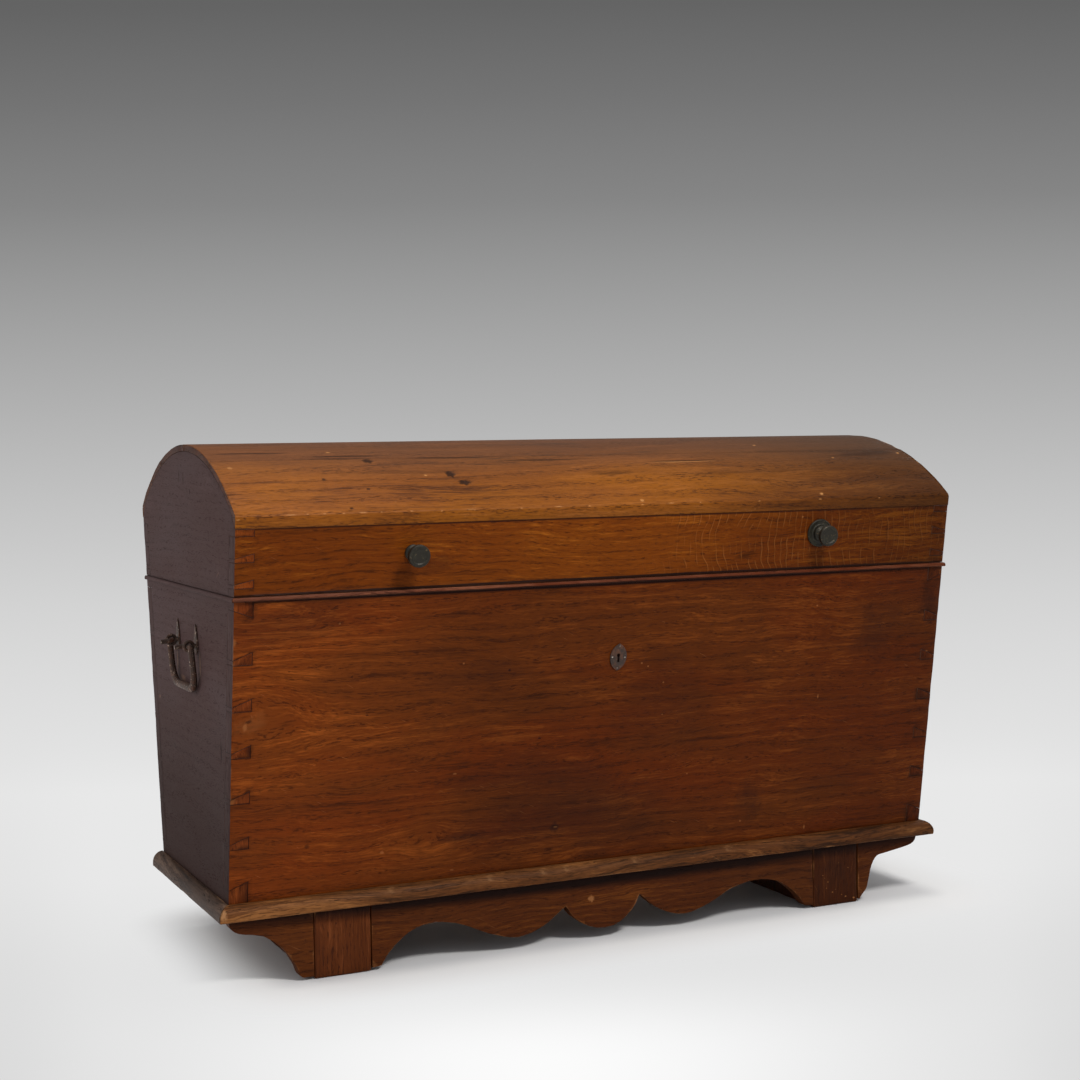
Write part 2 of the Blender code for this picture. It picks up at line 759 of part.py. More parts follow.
def roof_section(index):
    """Return one roof board's section in YZ: round on top, in flats below."""
    start = -ROOF_ANGLE + index * ROOF_STEP
    end = start + ROOF_STEP
    gap = math.degrees(FIT / 2 / ROOF_RADIUS)
    inner_gap = math.degrees(FIT / 2 / (ROOF_RADIUS - ROOF_BOARD))
    under = under_angles(index)
    first = index == 0
    final = index == ROOF_BOARD_COUNT - 1
    arris = math.degrees(ROOF_ARRIS / ROOF_RADIUS)
    low = start + (arris if first else gap)
    high = end - (arris if final else gap)
    outline = [roof_point(low + (high - low) * k / 8, ROOF_RADIUS) for k in range(9)]
    if final:
        outline += [(half_depth(EAVE - ROOF_ARRIS * t) - ROOF_ARRIS * s, EAVE - ROOF_ARRIS * t)
                    for s, t in ((0.12, 0.38), (0.0, 1.0))]
        outline.append((half_depth(EDGE_BOTTOM), EDGE_BOTTOM))
    else:
        under[-1] -= inner_gap
    if not first:
        under[0] += inner_gap
    outline += [roof_point(angle, under_radius(angle)) for angle in reversed(under)]
    if first:
        outline.append((-half_depth(EDGE_BOTTOM), EDGE_BOTTOM))
        outline += [(-half_depth(EAVE - ROOF_ARRIS * t) + ROOF_ARRIS * s, EAVE - ROOF_ARRIS * t)
                    for s, t in ((0.0, 1.0), (0.12, 0.38))]
    return outline


def lid_board_top(side_depth):
    """Return the height where a leaning face meets the roof's underside."""
    height = EDGE_BOTTOM
    for _ in range(12):
        height = under_roof_height(-side_depth(height))
    return height


def knob_place(side):
    """Return a knob's place on the lid's front: Z up it, Y inward."""
    hand = side > 0
    return front_frame(False, LID_LINE + KNOB_RISE[hand], side * (HALF_WIDTH - KNOB_INSET[hand]))


def build_lid(axis):
    """Add the lid's dovetailed frame and its coopered roof boards."""
    pins = lid_pins()
    pieces = []
    top_outer = EDGE_BOTTOM - UNDER_ROOF
    top_inner = lid_board_top(inner_half_depth)
    shank = KNOB_SHANK_RADIUS + FIT
    for side, word in ((-1, "front"), (1, "back")):
        board = tail_board("lid_" + word + "_board", side, pins, LID_BOTTOM, top_outer, top_inner, OAK_FRONT)
        pieces.append(board)
        if side > 0:
            continue
        for hand, tag in ((-1, "left"), (1, "right")):
            place = knob_place(hand)
            hole = rod(place @ Vector((0, -0.01, 0)), place @ Vector((0, BOARD + 0.01, 0)), shank, 16)
            carve(board, add_cutter(tag + "_knob_hole", hole))
    crown = roof_underside(UNDER_ROOF)[1:-1]
    for side, word in ((-1, "left"), (1, "right")):
        name = "lid_" + word + "_end"
        pieces.append(pin_board(name, side, pins, LID_BOTTOM, top_outer, crown, OAK_END))
    for k in range(ROOF_BOARD_COUNT):
        section = roof_section(k)
        board = add_mesh("roof_board_" + str(k + 1), prism(section, -HALF_WIDTH, HALF_WIDTH), OAK_ROOF)
        smooth(board, 12)
        pieces.append(board)
    for piece in pieces:
        hang(piece, axis)


# Hinges

HINGE_OFFSET = BARREL_RADIUS + FIT      # axis to the back's outer face


def hinge_axis_place(x=0.0):
    """Return the hinge axis on the back, at a distance from the middle."""
    return back_frame(x) @ Vector((0, HINGE_OFFSET, 0))


def strap_solid(name, outline, knuckles, bore, place, finish):
    """Add a strap with its rolled knuckles, bored for the hinge pin."""
    strap = as_mesh(flat_piece(name, outline, STRAP_THICKNESS), finish)
    lift = Matrix.Translation((0, FIT + STRAP_THICKNESS / 2, 0))
    strap.matrix_world = place @ lift @ strap.matrix_world
    for k, (start, end) in enumerate(knuckles):
        barrel = rod((start, HINGE_OFFSET, 0), (end, HINGE_OFFSET, 0), BARREL_RADIUS, 24)
        bmesh.ops.transform(barrel, matrix=place, verts=barrel.verts)
        carve(strap, add_cutter(name + "_knuckle_" + str(k + 1), barrel), "UNION")
    carve(strap, bore)
    return strap


def leaf_outline(gap):
    """Return the lower leaf's outline, notched for the strap's knuckle."""
    half = LEAF_WIDTH / 2
    tip = HINGE_END_WIDTH / 2
    waist = HINGE_NECK_WIDTH / 2
    neck = -LEAF_LENGTH + tip
    notch = STRAP_WIDTH / 2 + gap
    deep = -(BARREL_RADIUS + gap)
    right = [(half, 0), (half, -LEAF_SHOULDER), (waist, -LEAF_WAIST), (waist, neck + tip * 0.9)]
    end = arc((0, neck), tip, 35, -90, 8)
    side = right + end
    left = [(-x, z) for x, z in reversed(side[:-1])]
    return [(notch, deep), (notch, 0)] + side + left + [(-notch, 0), (-notch, deep)]


def strap_outline():
    """Return the upper strap's outline, drawn out to a round end."""
    half = STRAP_WIDTH / 2
    tip = HINGE_END_WIDTH / 2
    waist = HINGE_NECK_WIDTH / 2
    neck = STRAP_LENGTH - tip
    right = [(half, 0), (half, STRAP_SHOULDER), (waist, STRAP_WAIST), (waist, neck - tip * 0.9)]
    side = right + arc((0, neck), tip, -35, 90, 8)
    return side + [(-x, z) for x, z in reversed(side[:-1])]


def build_hinge(side, word, axis):
    """Add one strap hinge: leaf on the body, strap on the lid, pin between."""
    place = back_frame(side * HINGE_REACH)
    gap = FIT
    inner = STRAP_WIDTH / 2 + gap
    outer = LEAF_WIDTH / 2
    bore = rod((-outer - 0.01, HINGE_OFFSET, 0), (outer + 0.01, HINGE_OFFSET, 0),
               HINGE_PIN_RADIUS + FIT, 20)
    bmesh.ops.transform(bore, matrix=place, verts=bore.verts)
    bore = add_cutter(word + "_hinge_bore", bore)
    knuckles = ((-outer, -inner), (inner, outer))
    strap_solid(word + "_hinge_leaf", leaf_outline(gap * 2), knuckles, bore, place, IRON)
    knuckle = ((-STRAP_WIDTH / 2, STRAP_WIDTH / 2),)
    strap = strap_solid(word + "_hinge_strap", strap_outline(), knuckle, bore, place, IRON)
    hang(strap, axis)
    reach = outer + FIT
    head = HINGE_PIN_CAP
    profile = [(0, reach + head), (HINGE_PIN_HEAD * 0.7, reach + head), (HINGE_PIN_HEAD, reach + head * 0.4),
               (HINGE_PIN_HEAD, reach), (HINGE_PIN_RADIUS, reach), (HINGE_PIN_RADIUS, -reach),
               (HINGE_PIN_HEAD, -reach), (HINGE_PIN_HEAD, -reach - head * 0.4),
               (HINGE_PIN_HEAD * 0.7, -reach - head), (0, -reach - head)]
    pin = turned(word + "_hinge_pin", profile, 20, IRON)
    pin.rotation_euler = (0, math.radians(90), 0)
    pin.location = hinge_axis_place(side * HINGE_REACH)


def turned(name, profile, steps, finish):
    """Add a turned piece from (radius, z) points that run from its top down."""
    mesh = bpy.data.meshes.new(name)
    points = [(radius, 0, z) for radius, z in profile]
    mesh.from_pydata(points, [(k, k + 1) for k in range(len(points) - 1)], [])
    thing = bpy.data.objects.new(name, mesh)
    PARTS.objects.link(thing)
    spin = thing.modifiers.new("turning", "SCREW")
    spin.axis = "Z"
    spin.steps = steps
    spin.render_steps = steps
    spin.use_merge_vertices = True
    spin.merge_threshold = 0.00005
    spin.use_smooth_shade = True
    dress(thing, finish)
    return thing


# Lock

STAPLE_NEAR = LOCK_PLATE_THICKNESS + STAPLE_CLEAR       # lid board to the staple's near bar
BOLT_NEAR = STAPLE_NEAR + STAPLE_BAR + STAPLE_CLEAR     # lid board to the bolt
STAPLE_FAR = BOLT_NEAR + BOLT_THICKNESS + STAPLE_CLEAR + STAPLE_BAR
STAPLE_DEPTH = BOLT_DROP + BOLT_HEIGHT / 2 + STAPLE_CLEAR + STAPLE_BAR
LOCK_PLATE_BOTTOM = -(KEYHOLE_DROP + LOCK_PLATE_BELOW)
BOLT_LEFT = -(LOCK_PLATE_WIDTH / 2 - LOCK_CASE_MARGIN - LOCK_CASE_WALL - BOLT_WALL_GAP)
POST_ROOM = POST_RADIUS + FIT
POST_X = BOLT_LEFT + BOLT_WEB + BOLT_THROW + POST_ROOM


def lock_posts():
    """Return the (x, z) places of the two posts that the bolt slides on."""
    top = -(BOLT_DROP + BOLT_HEIGHT / 2 + POST_BELOW)
    return ((POST_X, top), (POST_X, top - POST_SPACING))


def bolt_outline():
    """Return the bolt's outline at rest, drawn back from the staple."""
    nose = -(STAPLE_THICKNESS / 2 + BOLT_NOSE_GAP)
    right = POST_X + POST_ROOM + BOLT_WEB
    high = -BOLT_DROP + BOLT_HEIGHT / 2
    low = -BOLT_DROP - BOLT_HEIGHT / 2
    foot = -(KEYHOLE_DROP - TALON_RISE)
    notch = foot + TALON
    shelf = notch + TALON
    return [(nose, high), (BOLT_LEFT, high), (BOLT_LEFT, foot), (-TALON, foot), (-TALON, notch),
            (0, notch), (0, foot), (TALON, foot), (TALON, shelf), (right, shelf), (right, low), (nose, low)]


def build_lock(lid_axis, keyhole):
    """Add the lock plate, case and bolt, the lid's staple and the escutcheon."""
    place = front_frame(True, LID_LINE, KEYHOLE_X)
    half = LOCK_PLATE_WIDTH / 2
    near = FIT
    far = FIT + LOCK_PLATE_THICKNESS
    low = (-half, near, LOCK_PLATE_BOTTOM)
    plate = add_mesh("lock_plate", block(low, (half, far, -LOCK_TOP)), IRON)
    plate.matrix_world = place
    for k, (x, z) in enumerate(lock_posts()):
        for radius, reach, tag in (
            (COLLAR_RADIUS, BOLT_NEAR - FIT, "collar"),
            (POST_RADIUS, BOLT_NEAR + BOLT_THICKNESS + 0.001, "post"),
        ):
            stud = rod((x, (near + far) / 2, z), (x, reach, z), radius, 16)
            bmesh.ops.transform(stud, matrix=place, verts=stud.verts)
            carve(plate, add_cutter("lock_" + tag + "_" + str(k + 1), stud), "UNION")
    carve(plate, keyhole)

    wide = half - LOCK_CASE_MARGIN
    base = far + FIT
    deep = base + LOCK_CASE_DEPTH
    top = -LOCK_TOP - LOCK_CASE_DEPTH * SLOPE
    bottom = LOCK_PLATE_BOTTOM + LOCK_CASE_MARGIN
    case = add_mesh("lock_case", block((-wide, base, bottom), (wide, deep, top)), IRON)
    case.matrix_world = place
    wall = LOCK_CASE_WALL
    hollow = block((-wide + wall, base - 0.01, bottom + wall), (wide - wall, deep - wall, top - wall))
    clear = STAPLE_THICKNESS / 2 + STAPLE_CLEAR
    swing = STAPLE_FAR + math.sin(SPLAY) * STAPLE_DEPTH + STAPLE_CLEAR
    slot = block((-clear, base - 0.01, top - 0.01), (clear, swing, top + 0.01))
    for solid, tag in ((hollow, "hollow"), (slot, "slot")):
        bmesh.ops.transform(solid, matrix=place, verts=solid.verts)
        carve(case, add_cutter("lock_case_" + tag, solid))

    axis = add_axis("bolt_slide", place @ Vector((0, BOLT_NEAR + BOLT_THICKNESS / 2, -BOLT_DROP)))
    bolt = as_mesh(flat_piece("lock_bolt", bolt_outline(), BOLT_THICKNESS), BRIGHT_IRON)
    lift = Matrix.Translation((0, BOLT_NEAR + BOLT_THICKNESS / 2, 0))
    bolt.matrix_world = place @ lift @ bolt.matrix_world
    for k, (x, z) in enumerate(lock_posts()):
        low = (x - POST_ROOM - BOLT_THROW, BOLT_NEAR - 0.01, z - POST_ROOM)
        slot = block(low, (x + POST_ROOM, STAPLE_FAR, z + POST_ROOM))
        bmesh.ops.transform(slot, matrix=place, verts=slot.verts)
        carve(bolt, add_cutter("bolt_slot_" + str(k + 1), slot))
    hang(bolt, axis)

    plate_top = LID_GAP + STAPLE_PLATE_HEIGHT
    half = STAPLE_PLATE_WIDTH / 2
    staple = add_mesh(
        "lid_staple",
        block((-half, FIT, STAPLE_PLATE_GAP), (half, FIT + STAPLE_PLATE_THICKNESS, plate_top)),
        IRON,
    )
    staple.matrix_world = place
    eye_top = -BOLT_DROP + BOLT_HEIGHT / 2 + STAPLE_CLEAR
    eye_low = -STAPLE_DEPTH + STAPLE_BAR
    foot = -STAPLE_DEPTH
    middle = (STAPLE_NEAR + STAPLE_FAR) / 2
    radius = (STAPLE_FAR - STAPLE_NEAR) / 2
    head = STAPLE_SHOULDER
    loop = [(STAPLE_NEAR, foot + radius * 0.5)]
    loop += [(middle + radius * math.cos(t), foot + radius * 0.5 * (1 + math.sin(t)))
             for t in (math.radians(180 + 30 * k) for k in range(1, 6))]
    loop += [(STAPLE_FAR, foot + radius * 0.5), (STAPLE_FAR, head * 0.6), (STAPLE_FAR * 0.6, head),
             (FIT + STAPLE_PLATE_THICKNESS / 2, head), (FIT + STAPLE_PLATE_THICKNESS / 2, 0.008),
             (STAPLE_NEAR, 0.006)]
    tongue = prism(loop, -STAPLE_THICKNESS / 2, STAPLE_THICKNESS / 2)
    bmesh.ops.transform(tongue, matrix=place, verts=tongue.verts)
    tongue = add_cutter("staple_tongue", tongue)
    eye = block(
        (-STAPLE_THICKNESS, STAPLE_NEAR + STAPLE_BAR, eye_low),
        (STAPLE_THICKNESS, STAPLE_FAR - STAPLE_BAR, eye_top),
    )
    bmesh.ops.transform(eye, matrix=place, verts=eye.verts)
    carve(staple, tongue, "UNION")
    carve(staple, add_cutter("staple_eye", eye))
    hang(staple, lid_axis)

    outline = escutcheon_outline()
    escutcheon = as_mesh(flat_piece("escutcheon", outline, ESCUTCHEON_THICKNESS), IRON)
    spot = front_frame(False, LID_LINE - KEYHOLE_DROP, KEYHOLE_X)
    lift = Matrix.Translation((0, -(FIT + ESCUTCHEON_THICKNESS / 2), 0))
    tilt = Matrix.Rotation(ESCUTCHEON_TILT, 4, "Y")
    escutcheon.matrix_world = spot @ lift @ tilt @ escutcheon.matrix_world
    carve(escutcheon, keyhole)


def escutcheon_outline():
    """Return the pointed oval of the keyhole plate."""
    half_w = ESCUTCHEON_WIDTH / 2
    half_h = ESCUTCHEON_HEIGHT / 2
    radius = (half_w ** 2 + half_h ** 2) / (2 * half_w)
    spread = math.degrees(math.asin(half_h / radius))
    right = arc((half_w - radius, 0), radius, -spread, spread, 12)
    return right[:-1] + [(-x, -z) for x, z in right[:-1]]


# Knobs

def knob_profile(seat):
    """Return the knob's (radius, z) profile, seat being where its collar stops."""
    rim = KNOB_RADIUS
    cap = KNOB_LENGTH - KNOB_CAP
    neck = KNOB_NECK_RADIUS
    dish = 0.0012
    face = arc((rim - 0.002, KNOB_LENGTH - 0.002), 0.002, 90, 0, 3)
    edge = arc((rim - 0.0025, cap + 0.0025), 0.0025, 0, -90, 3)
    collar = seat + 0.004
    profile = [(0, KNOB_LENGTH - dish), (rim * 0.62, KNOB_LENGTH - dish), (rim * 0.72, KNOB_LENGTH)]
    profile += face + edge
    profile += [(neck + 0.0035, cap - 0.0012), (neck, cap - 0.005), (neck, collar + 0.0035),
                (neck + 0.003, collar + 0.0008), (KNOB_COLLAR_RADIUS, collar - 0.0008),
                (KNOB_COLLAR_RADIUS, seat), (KNOB_SHANK_RADIUS, seat)]
    end = -(BOARD + KNOB_NUT_THICKNESS + 0.003)
    profile += [(KNOB_SHANK_RADIUS, end + 0.001), (KNOB_SHANK_RADIUS - 0.001, end), (0, end)]
    return profile


def build_knob(side, word, rose, lid_axis):
    """Add a turned knob through the lid's front board, held by a nut inside."""
    place = knob_place(side)
    outward = Matrix.Rotation(math.radians(90), 4, "X")
    seat = FIT
    pieces = []
    if rose:
        seat = FIT + KNOB_ROSE_THICKNESS + FIT
        bore = KNOB_SHANK_RADIUS + FIT
        rim = KNOB_ROSE_RADIUS
        high = FIT + KNOB_ROSE_THICKNESS
        plate = turned(word + "_knob_rose", [
            (bore, high), (rim * 0.62, high), (rim * 0.68, high * 0.8), (rim * 0.84, high * 0.8),
            (rim * 0.9, high), (rim * 0.96, high), (rim, high * 0.7), (rim, FIT), (bore, FIT), (bore, high),
        ], 32, BRONZE)
        plate.matrix_world = place @ outward
        pieces.append(plate)
    knob = turned(word + "_knob", knob_profile(seat), 32, BRONZE)
    knob.matrix_world = place @ outward
    pieces.append(knob)
    inner = BOARD + FIT
    nut = rod((0, inner, 0), (0, inner + KNOB_NUT_THICKNESS, 0), KNOB_NUT_RADIUS, 4)
    nut = add_mesh(word + "_knob_nut", nut, IRON)
    nut.matrix_world = place
    hole = rod((0, inner - 0.01, 0), (0, inner + KNOB_NUT_THICKNESS + 0.01, 0), KNOB_SHANK_RADIUS + FIT, 16)
    bmesh.ops.transform(hole, matrix=place, verts=hole.verts)
    carve(nut, add_cutter(word + "_knob_nut_hole", hole))
    pieces.append(nut)
    for piece in pieces:
        hang(piece, lid_axis)


# Bail handles

EYE_RING = BAIL_END_RADIUS + EYE_CLEARANCE + EYE_WIRE   # ring centre to the middle of its wire
PIVOT_OUT = ROSE_THICKNESS + 2 * FIT + EYE_RING + EYE_WIRE
BAIL_LEAN = math.asin((PIVOT_OUT - BAIL_RADIUS * BAIL_GRIP_SWELL - FIT) / BAIL_LENGTH)


def tube(name, points, radius, thickness, sides):
    """Add a bent round bar through points, with a factor on its radius at each."""
    curve = bpy.data.curves.new(name, "CURVE")
    curve.dimensions = "3D"
    curve.bevel_depth = radius
    curve.bevel_resolution = sides
    curve.use_fill_caps = True
    spline = curve.splines.new("POLY")
    spline.points.add(len(points) - 1)
    for point, co, factor in zip(spline.points, points, thickness):
        point.co = (*co, 1)
        point.radius = factor
    thing = bpy.data.objects.new(name, curve)
    PARTS.objects.link(thing)
    return as_mesh(thing)


def bail_path(side):
    """Return the bail's points and radius factors, from one bent tip to the other."""
    leg = BAIL_SPREAD / 2
    bend = BAIL_BEND
    thin = BAIL_END_RADIUS / BAIL_RADIUS
    hook = EYE_SPREAD / 2 - EYE_WIRE - 0.0015
    half = [((side * BAIL_TIP, hook - bend, 0.0), thin)]
    for k in range(5):
        turn = math.radians(90 * k / 4)
        half.append(((side * bend * (1 - math.sin(turn)), hook - bend * math.cos(turn), 0.0), thin))
    for k in range(5):
        turn = math.radians(90 * k / 4)
        half.append(((0.0, leg - bend * (1 - math.sin(turn)), -bend * (1 - math.cos(turn))),
                     thin + (1 - thin) * k / 4))
    half.append(((0.0, leg, -(BAIL_LENGTH - BAIL_CORNER)), 1.0))
    for k in range(1, 7):
        turn = math.radians(90 * k / 6)
        swell = 1 + (BAIL_GRIP_SWELL - 1) * k / 6
        half.append(((0.0, leg - BAIL_CORNER * (1 - math.cos(turn)),
                      -(BAIL_LENGTH - BAIL_CORNER) - BAIL_CORNER * math.sin(turn)), swell))
    other = [((x, -y, z), factor) for (x, y, z), factor in reversed(half)]
    return half + other


def rose_outline():
    """Return the leaf-shaped plate's outline, pointed at the top."""
    half = ROSE_WIDTH / 2
    side = flowing([(0, -ROSE_BELOW), (half * 0.78, -ROSE_BELOW * 0.62), (half, ROSE_BELOW * 0.25),
                    (half * 0.62, ROSE_ABOVE * 0.55), (0, ROSE_ABOVE)], 4)
    right = [tuple(point) for point in side]
    return right[:-1] + [(-x, z) for x, z in reversed(right[1:])]


def build_handle(side, word):
    """Add one bail with the eyes it swings in and their roses."""
    height = LID_LINE - BAIL_DROP
    pivot = Vector((side * (HALF_WIDTH + PIVOT_OUT), 0, height))
    axis = add_axis(word + "_bail_axis", pivot)
    path = bail_path(side)
    bail = tube(word + "_bail", [point for point, _ in path], BAIL_RADIUS, [factor for _, factor in path], 3)
    bail.location = pivot
    bail.rotation_euler = (0, side * BAIL_LEAN, 0)
    smooth(bail)
    dress(bail, IRON)
    hang(bail, axis)
    for hand, tag in ((-1, "front"), (1, "back")):
        y = hand * EYE_SPREAD / 2
        centre = Vector((side * (HALF_WIDTH + PIVOT_OUT), y, height))
        inner = HALF_WIDTH - BOARD
        bend = EYE_SHANK_RADIUS * 1.25
        turn_x = inner - bend - FIT
        path = [(centre.x - side * (EYE_RING - EYE_WIRE * 0.3), y, height)]
        for k in range(5):
            angle = math.radians(90 * k / 4)
            path.append((side * (turn_x + bend * (1 - math.sin(angle))), y,
                         height - bend * (1 - math.cos(angle))))
        path.append((side * turn_x, y, height - EYE_CLENCH))
        taper = [1.0] * (len(path) - 1) + [0.6]
        eye = tube("_".join((word, tag, "eye")), path, EYE_SHANK_RADIUS, taper, 2)
        ring = bmesh.new()
        add_torus(ring, centre, EYE_RING, EYE_WIRE, 24, 10)
        carve(eye, add_cutter("_".join((word, tag, "ring")), ring), "UNION")
        dress(eye, IRON)
        rose = as_mesh(flat_piece("_".join((word, tag, "rose")), rose_outline(), ROSE_THICKNESS), IRON)
        turn = Matrix.Rotation(math.radians(90), 4, "Z")
        spot = Matrix.Translation((side * (HALF_WIDTH + FIT + ROSE_THICKNESS / 2), y, height))
        rose.matrix_world = spot @ turn @ rose.matrix_world
        hole = rod(spot @ Vector((-0.01, 0, 0)), spot @ Vector((0.01, 0, 0)), EYE_SHANK_RADIUS + FIT, 16)
        carve(rose, add_cutter("_".join((word, tag, "rose_hole")), hole))


def add_torus(bm, centre, radius, wire, steps, sides):
    """Spin a small circle about an axis along Y to make a ring."""
    circle = bmesh.ops.create_circle(
        bm, segments=sides, radius=wire, matrix=Matrix.Translation(centre + Vector((radius, 0, 0))),
    )
    edges = list({edge for vert in circle["verts"] for edge in vert.link_edges})
    bmesh.ops.spin(
        bm, geom=circle["verts"] + edges, cent=centre, axis=(0, 1, 0),
        angle=2 * math.pi, steps=steps, use_merge=True,
    )
    bmesh.ops.remove_doubles(bm, verts=bm.verts, dist=0.00001)


def centre_over_floor():
    """Move the whole chest so that its box stands centred over the origin."""
    bpy.context.view_layer.update()
    graph = bpy.context.evaluated_depsgraph_get()
    reach = []
    for thing in PARTS.objects:
        if thing.type == "EMPTY":
            continue
        solid = thing.evaluated_get(graph)
        reach += [(solid.matrix_world @ Vector(corner)).y for corner in solid_points(solid)]
    shift = -(min(reach) + max(reach)) / 2
    for thing in list(PARTS.objects) + list(CUTTERS.objects):
        if thing.parent is None:
            thing.location.y += shift


def solid_points(solid):
    """Return an evaluated object's own points."""
    mesh = solid.to_mesh()
    points = [vert.co.copy() for vert in mesh.vertices]
    solid.to_mesh_clear()
    return points


def main():
    """Build the chest from the floor up."""
    build_base()
    build_bottom()
    keyhole = keyhole_cutter()
    build_body(keyhole)
    lid_axis = add_axis("lid_hinge_axis", hinge_axis_place())
    build_lid(lid_axis)
    for side, word in ((-1, "left"), (1, "right")):
        build_hinge(side, word, lid_axis)
        build_knob(side, word, side > 0, lid_axis)
        build_handle(side, word)
    build_lock(lid_axis, keyhole)
    centre_over_floor()


main()
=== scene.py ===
"""Looks of the domed oak chest: worn boards, aged metal and a pale studio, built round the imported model."""

import logging  # noqa: E402
import math  # noqa: E402
from dataclasses import dataclass, field, replace  # noqa: E402
from enum import Enum  # noqa: E402

import bmesh  # noqa: E402
import bpy  # noqa: E402
import numpy as np  # noqa: E402
from mathutils import Matrix, Vector  # noqa: E402
from mathutils.kdtree import KDTree  # noqa: E402


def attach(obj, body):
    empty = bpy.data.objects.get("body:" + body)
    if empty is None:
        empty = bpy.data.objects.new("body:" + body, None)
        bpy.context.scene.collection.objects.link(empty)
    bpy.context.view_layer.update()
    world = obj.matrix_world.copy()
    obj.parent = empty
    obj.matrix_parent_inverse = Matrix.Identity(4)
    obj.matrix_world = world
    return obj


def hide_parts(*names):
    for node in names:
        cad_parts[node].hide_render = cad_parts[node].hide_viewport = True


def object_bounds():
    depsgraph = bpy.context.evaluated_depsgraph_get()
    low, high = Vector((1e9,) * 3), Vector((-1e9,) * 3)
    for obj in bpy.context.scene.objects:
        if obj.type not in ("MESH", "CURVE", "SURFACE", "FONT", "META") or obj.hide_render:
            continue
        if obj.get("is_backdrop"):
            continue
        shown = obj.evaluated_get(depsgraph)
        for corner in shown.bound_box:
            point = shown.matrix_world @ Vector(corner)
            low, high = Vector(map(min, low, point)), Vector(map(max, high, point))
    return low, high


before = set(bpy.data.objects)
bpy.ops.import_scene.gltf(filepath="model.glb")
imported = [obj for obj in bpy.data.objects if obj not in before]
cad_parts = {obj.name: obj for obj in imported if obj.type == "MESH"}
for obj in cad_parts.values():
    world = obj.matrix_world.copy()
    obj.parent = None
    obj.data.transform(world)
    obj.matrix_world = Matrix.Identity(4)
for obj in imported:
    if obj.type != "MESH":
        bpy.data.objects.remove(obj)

log = logging.getLogger("chest")
MILLIMETRE = 0.001

# The chest's own planes, in metres, as its model has them
MID_Y = 0.011915
RIM_Z = 0.568
HALF_LENGTH = 0.6
HALF_DEPTH_AT_RIM = 0.26425
WALL_SLOPE = math.tan(math.radians(8.62))
ROOF_RADIUS = 0.44713
ROOF_CENTRE_Z = 0.33317
BASE_FRONT_Y = -0.185

ORIGIN = (0.0, 0.0, 0.0)
Triple = tuple[float, float, float]
Color = tuple[float, float, float]
Socket = bpy.types.NodeSocket
Outputs = bpy.types.NodeOutputs


class Grain(Enum):
    """The order that turns world x, y, z into along the grain, across it and through the board."""

    LENGTHWAYS = (0, 2, 1)
    LENGTHWAYS_LYING = (0, 1, 2)
    ENDWAYS = (1, 2, 0)
    UPRIGHT = (2, 0, 1)


class Body(Enum):
    """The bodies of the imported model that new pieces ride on."""

    CHEST = "chest"
    LID = "lid"


class Shell(Enum):
    """The outer surfaces of the closed chest."""

    END = "end"
    FRONT = "front"
    BACK = "back"
    ROOF = "roof"


class Part(Enum):
    """Which of a board's finishes a face takes, by its place in the board's material list."""

    FACE = 0
    END_GRAIN = 1
    JOINT = 2
    INSIDE = 3


def srgb(red: int, green: int, blue: int) -> Color:
    """Turns a colour as a screen shows it into the linear one that a shader takes.

    Args:
        red: The red value, 0 to 255.
        green: The green value, 0 to 255.
        blue: The blue value, 0 to 255.

    Returns:
        The linear colour.
    """
    shares = (red / 255, green / 255, blue / 255)
    return tuple(((c + 0.055) / 1.055) ** 2.4 if c > 0.04045 else c / 12.92 for c in shares)


def front_plane_y(z: float) -> float:
    """The y of the sloping front's outer face at height z."""
    return MID_Y - HALF_DEPTH_AT_RIM - (z - RIM_Z) * WALL_SLOPE


def roof_z(y: float) -> float:
    """The z of the dome's outer face at depth y."""
    return ROOF_CENTRE_Z + math.sqrt(ROOF_RADIUS**2 - (y - MID_Y) ** 2)


def on_front(x: float, z: float) -> Vector:
    """The point of the front's outer face at x and z."""
    return Vector((x, front_plane_y(z), z))


def on_roof(x: float, y: float) -> Vector:
    """The point of the dome's outer face at x and y."""
    return Vector((x, y, roof_z(y)))


def on_left(y: float, z: float) -> Vector:
    """The point of the left end's outer face at y and z."""
    return Vector((-HALF_LENGTH, y, z))


def on_base(x: float, z: float) -> Vector:
    """The point of the base's front at x and z."""
    return Vector((x, BASE_FRONT_Y, z))


def add_object(name: str, data: bpy.types.ID) -> bpy.types.Object:
    """Makes an object of a mesh, lamp or camera and puts it in the scene."""
    made = bpy.data.objects.new(name, data)
    bpy.context.scene.collection.objects.link(made)
    return made


# Smooth noise, worked out on arrays


def _lattice(cells: np.ndarray, seed: int) -> np.ndarray:
    """A fixed random value, 0 to 1, for each whole-number cell."""
    value = cells[:, 0] * 73856093 ^ cells[:, 1] * 19349663 ^ cells[:, 2] * 83492791 ^ (seed * 2654435 + 97)
    value = (value ^ (value >> 13)) * 1274126177 & 0x7FFFFFFF
    value = (value ^ (value >> 15)) * 668265263 & 0x7FFFFFFF
    return (value & 0xFFFF) / 65535.0


def smooth_noise(points: np.ndarray, period: float, seed: int) -> np.ndarray:
    """Value noise over points in space.

    Args:
        points: An array of n points, in metres.
        period: The distance between its hills, in metres.
        seed: Picks one pattern.

    Returns:
        n values from 0 to 1.
    """
    scaled = points / period + 311.0
    cell = np.floor(scaled).astype(np.int64)
    part = scaled - cell
    part = part * part * (3 - 2 * part)
    total = np.zeros(len(points))
    for corner in range(8):
        step = np.array((corner & 1, corner >> 1 & 1, corner >> 2 & 1))
        weight = np.prod(np.where(step == 1, part, 1 - part), axis=1)
        total += weight * _lattice(cell + step, seed)
    return total


# Shader graphs


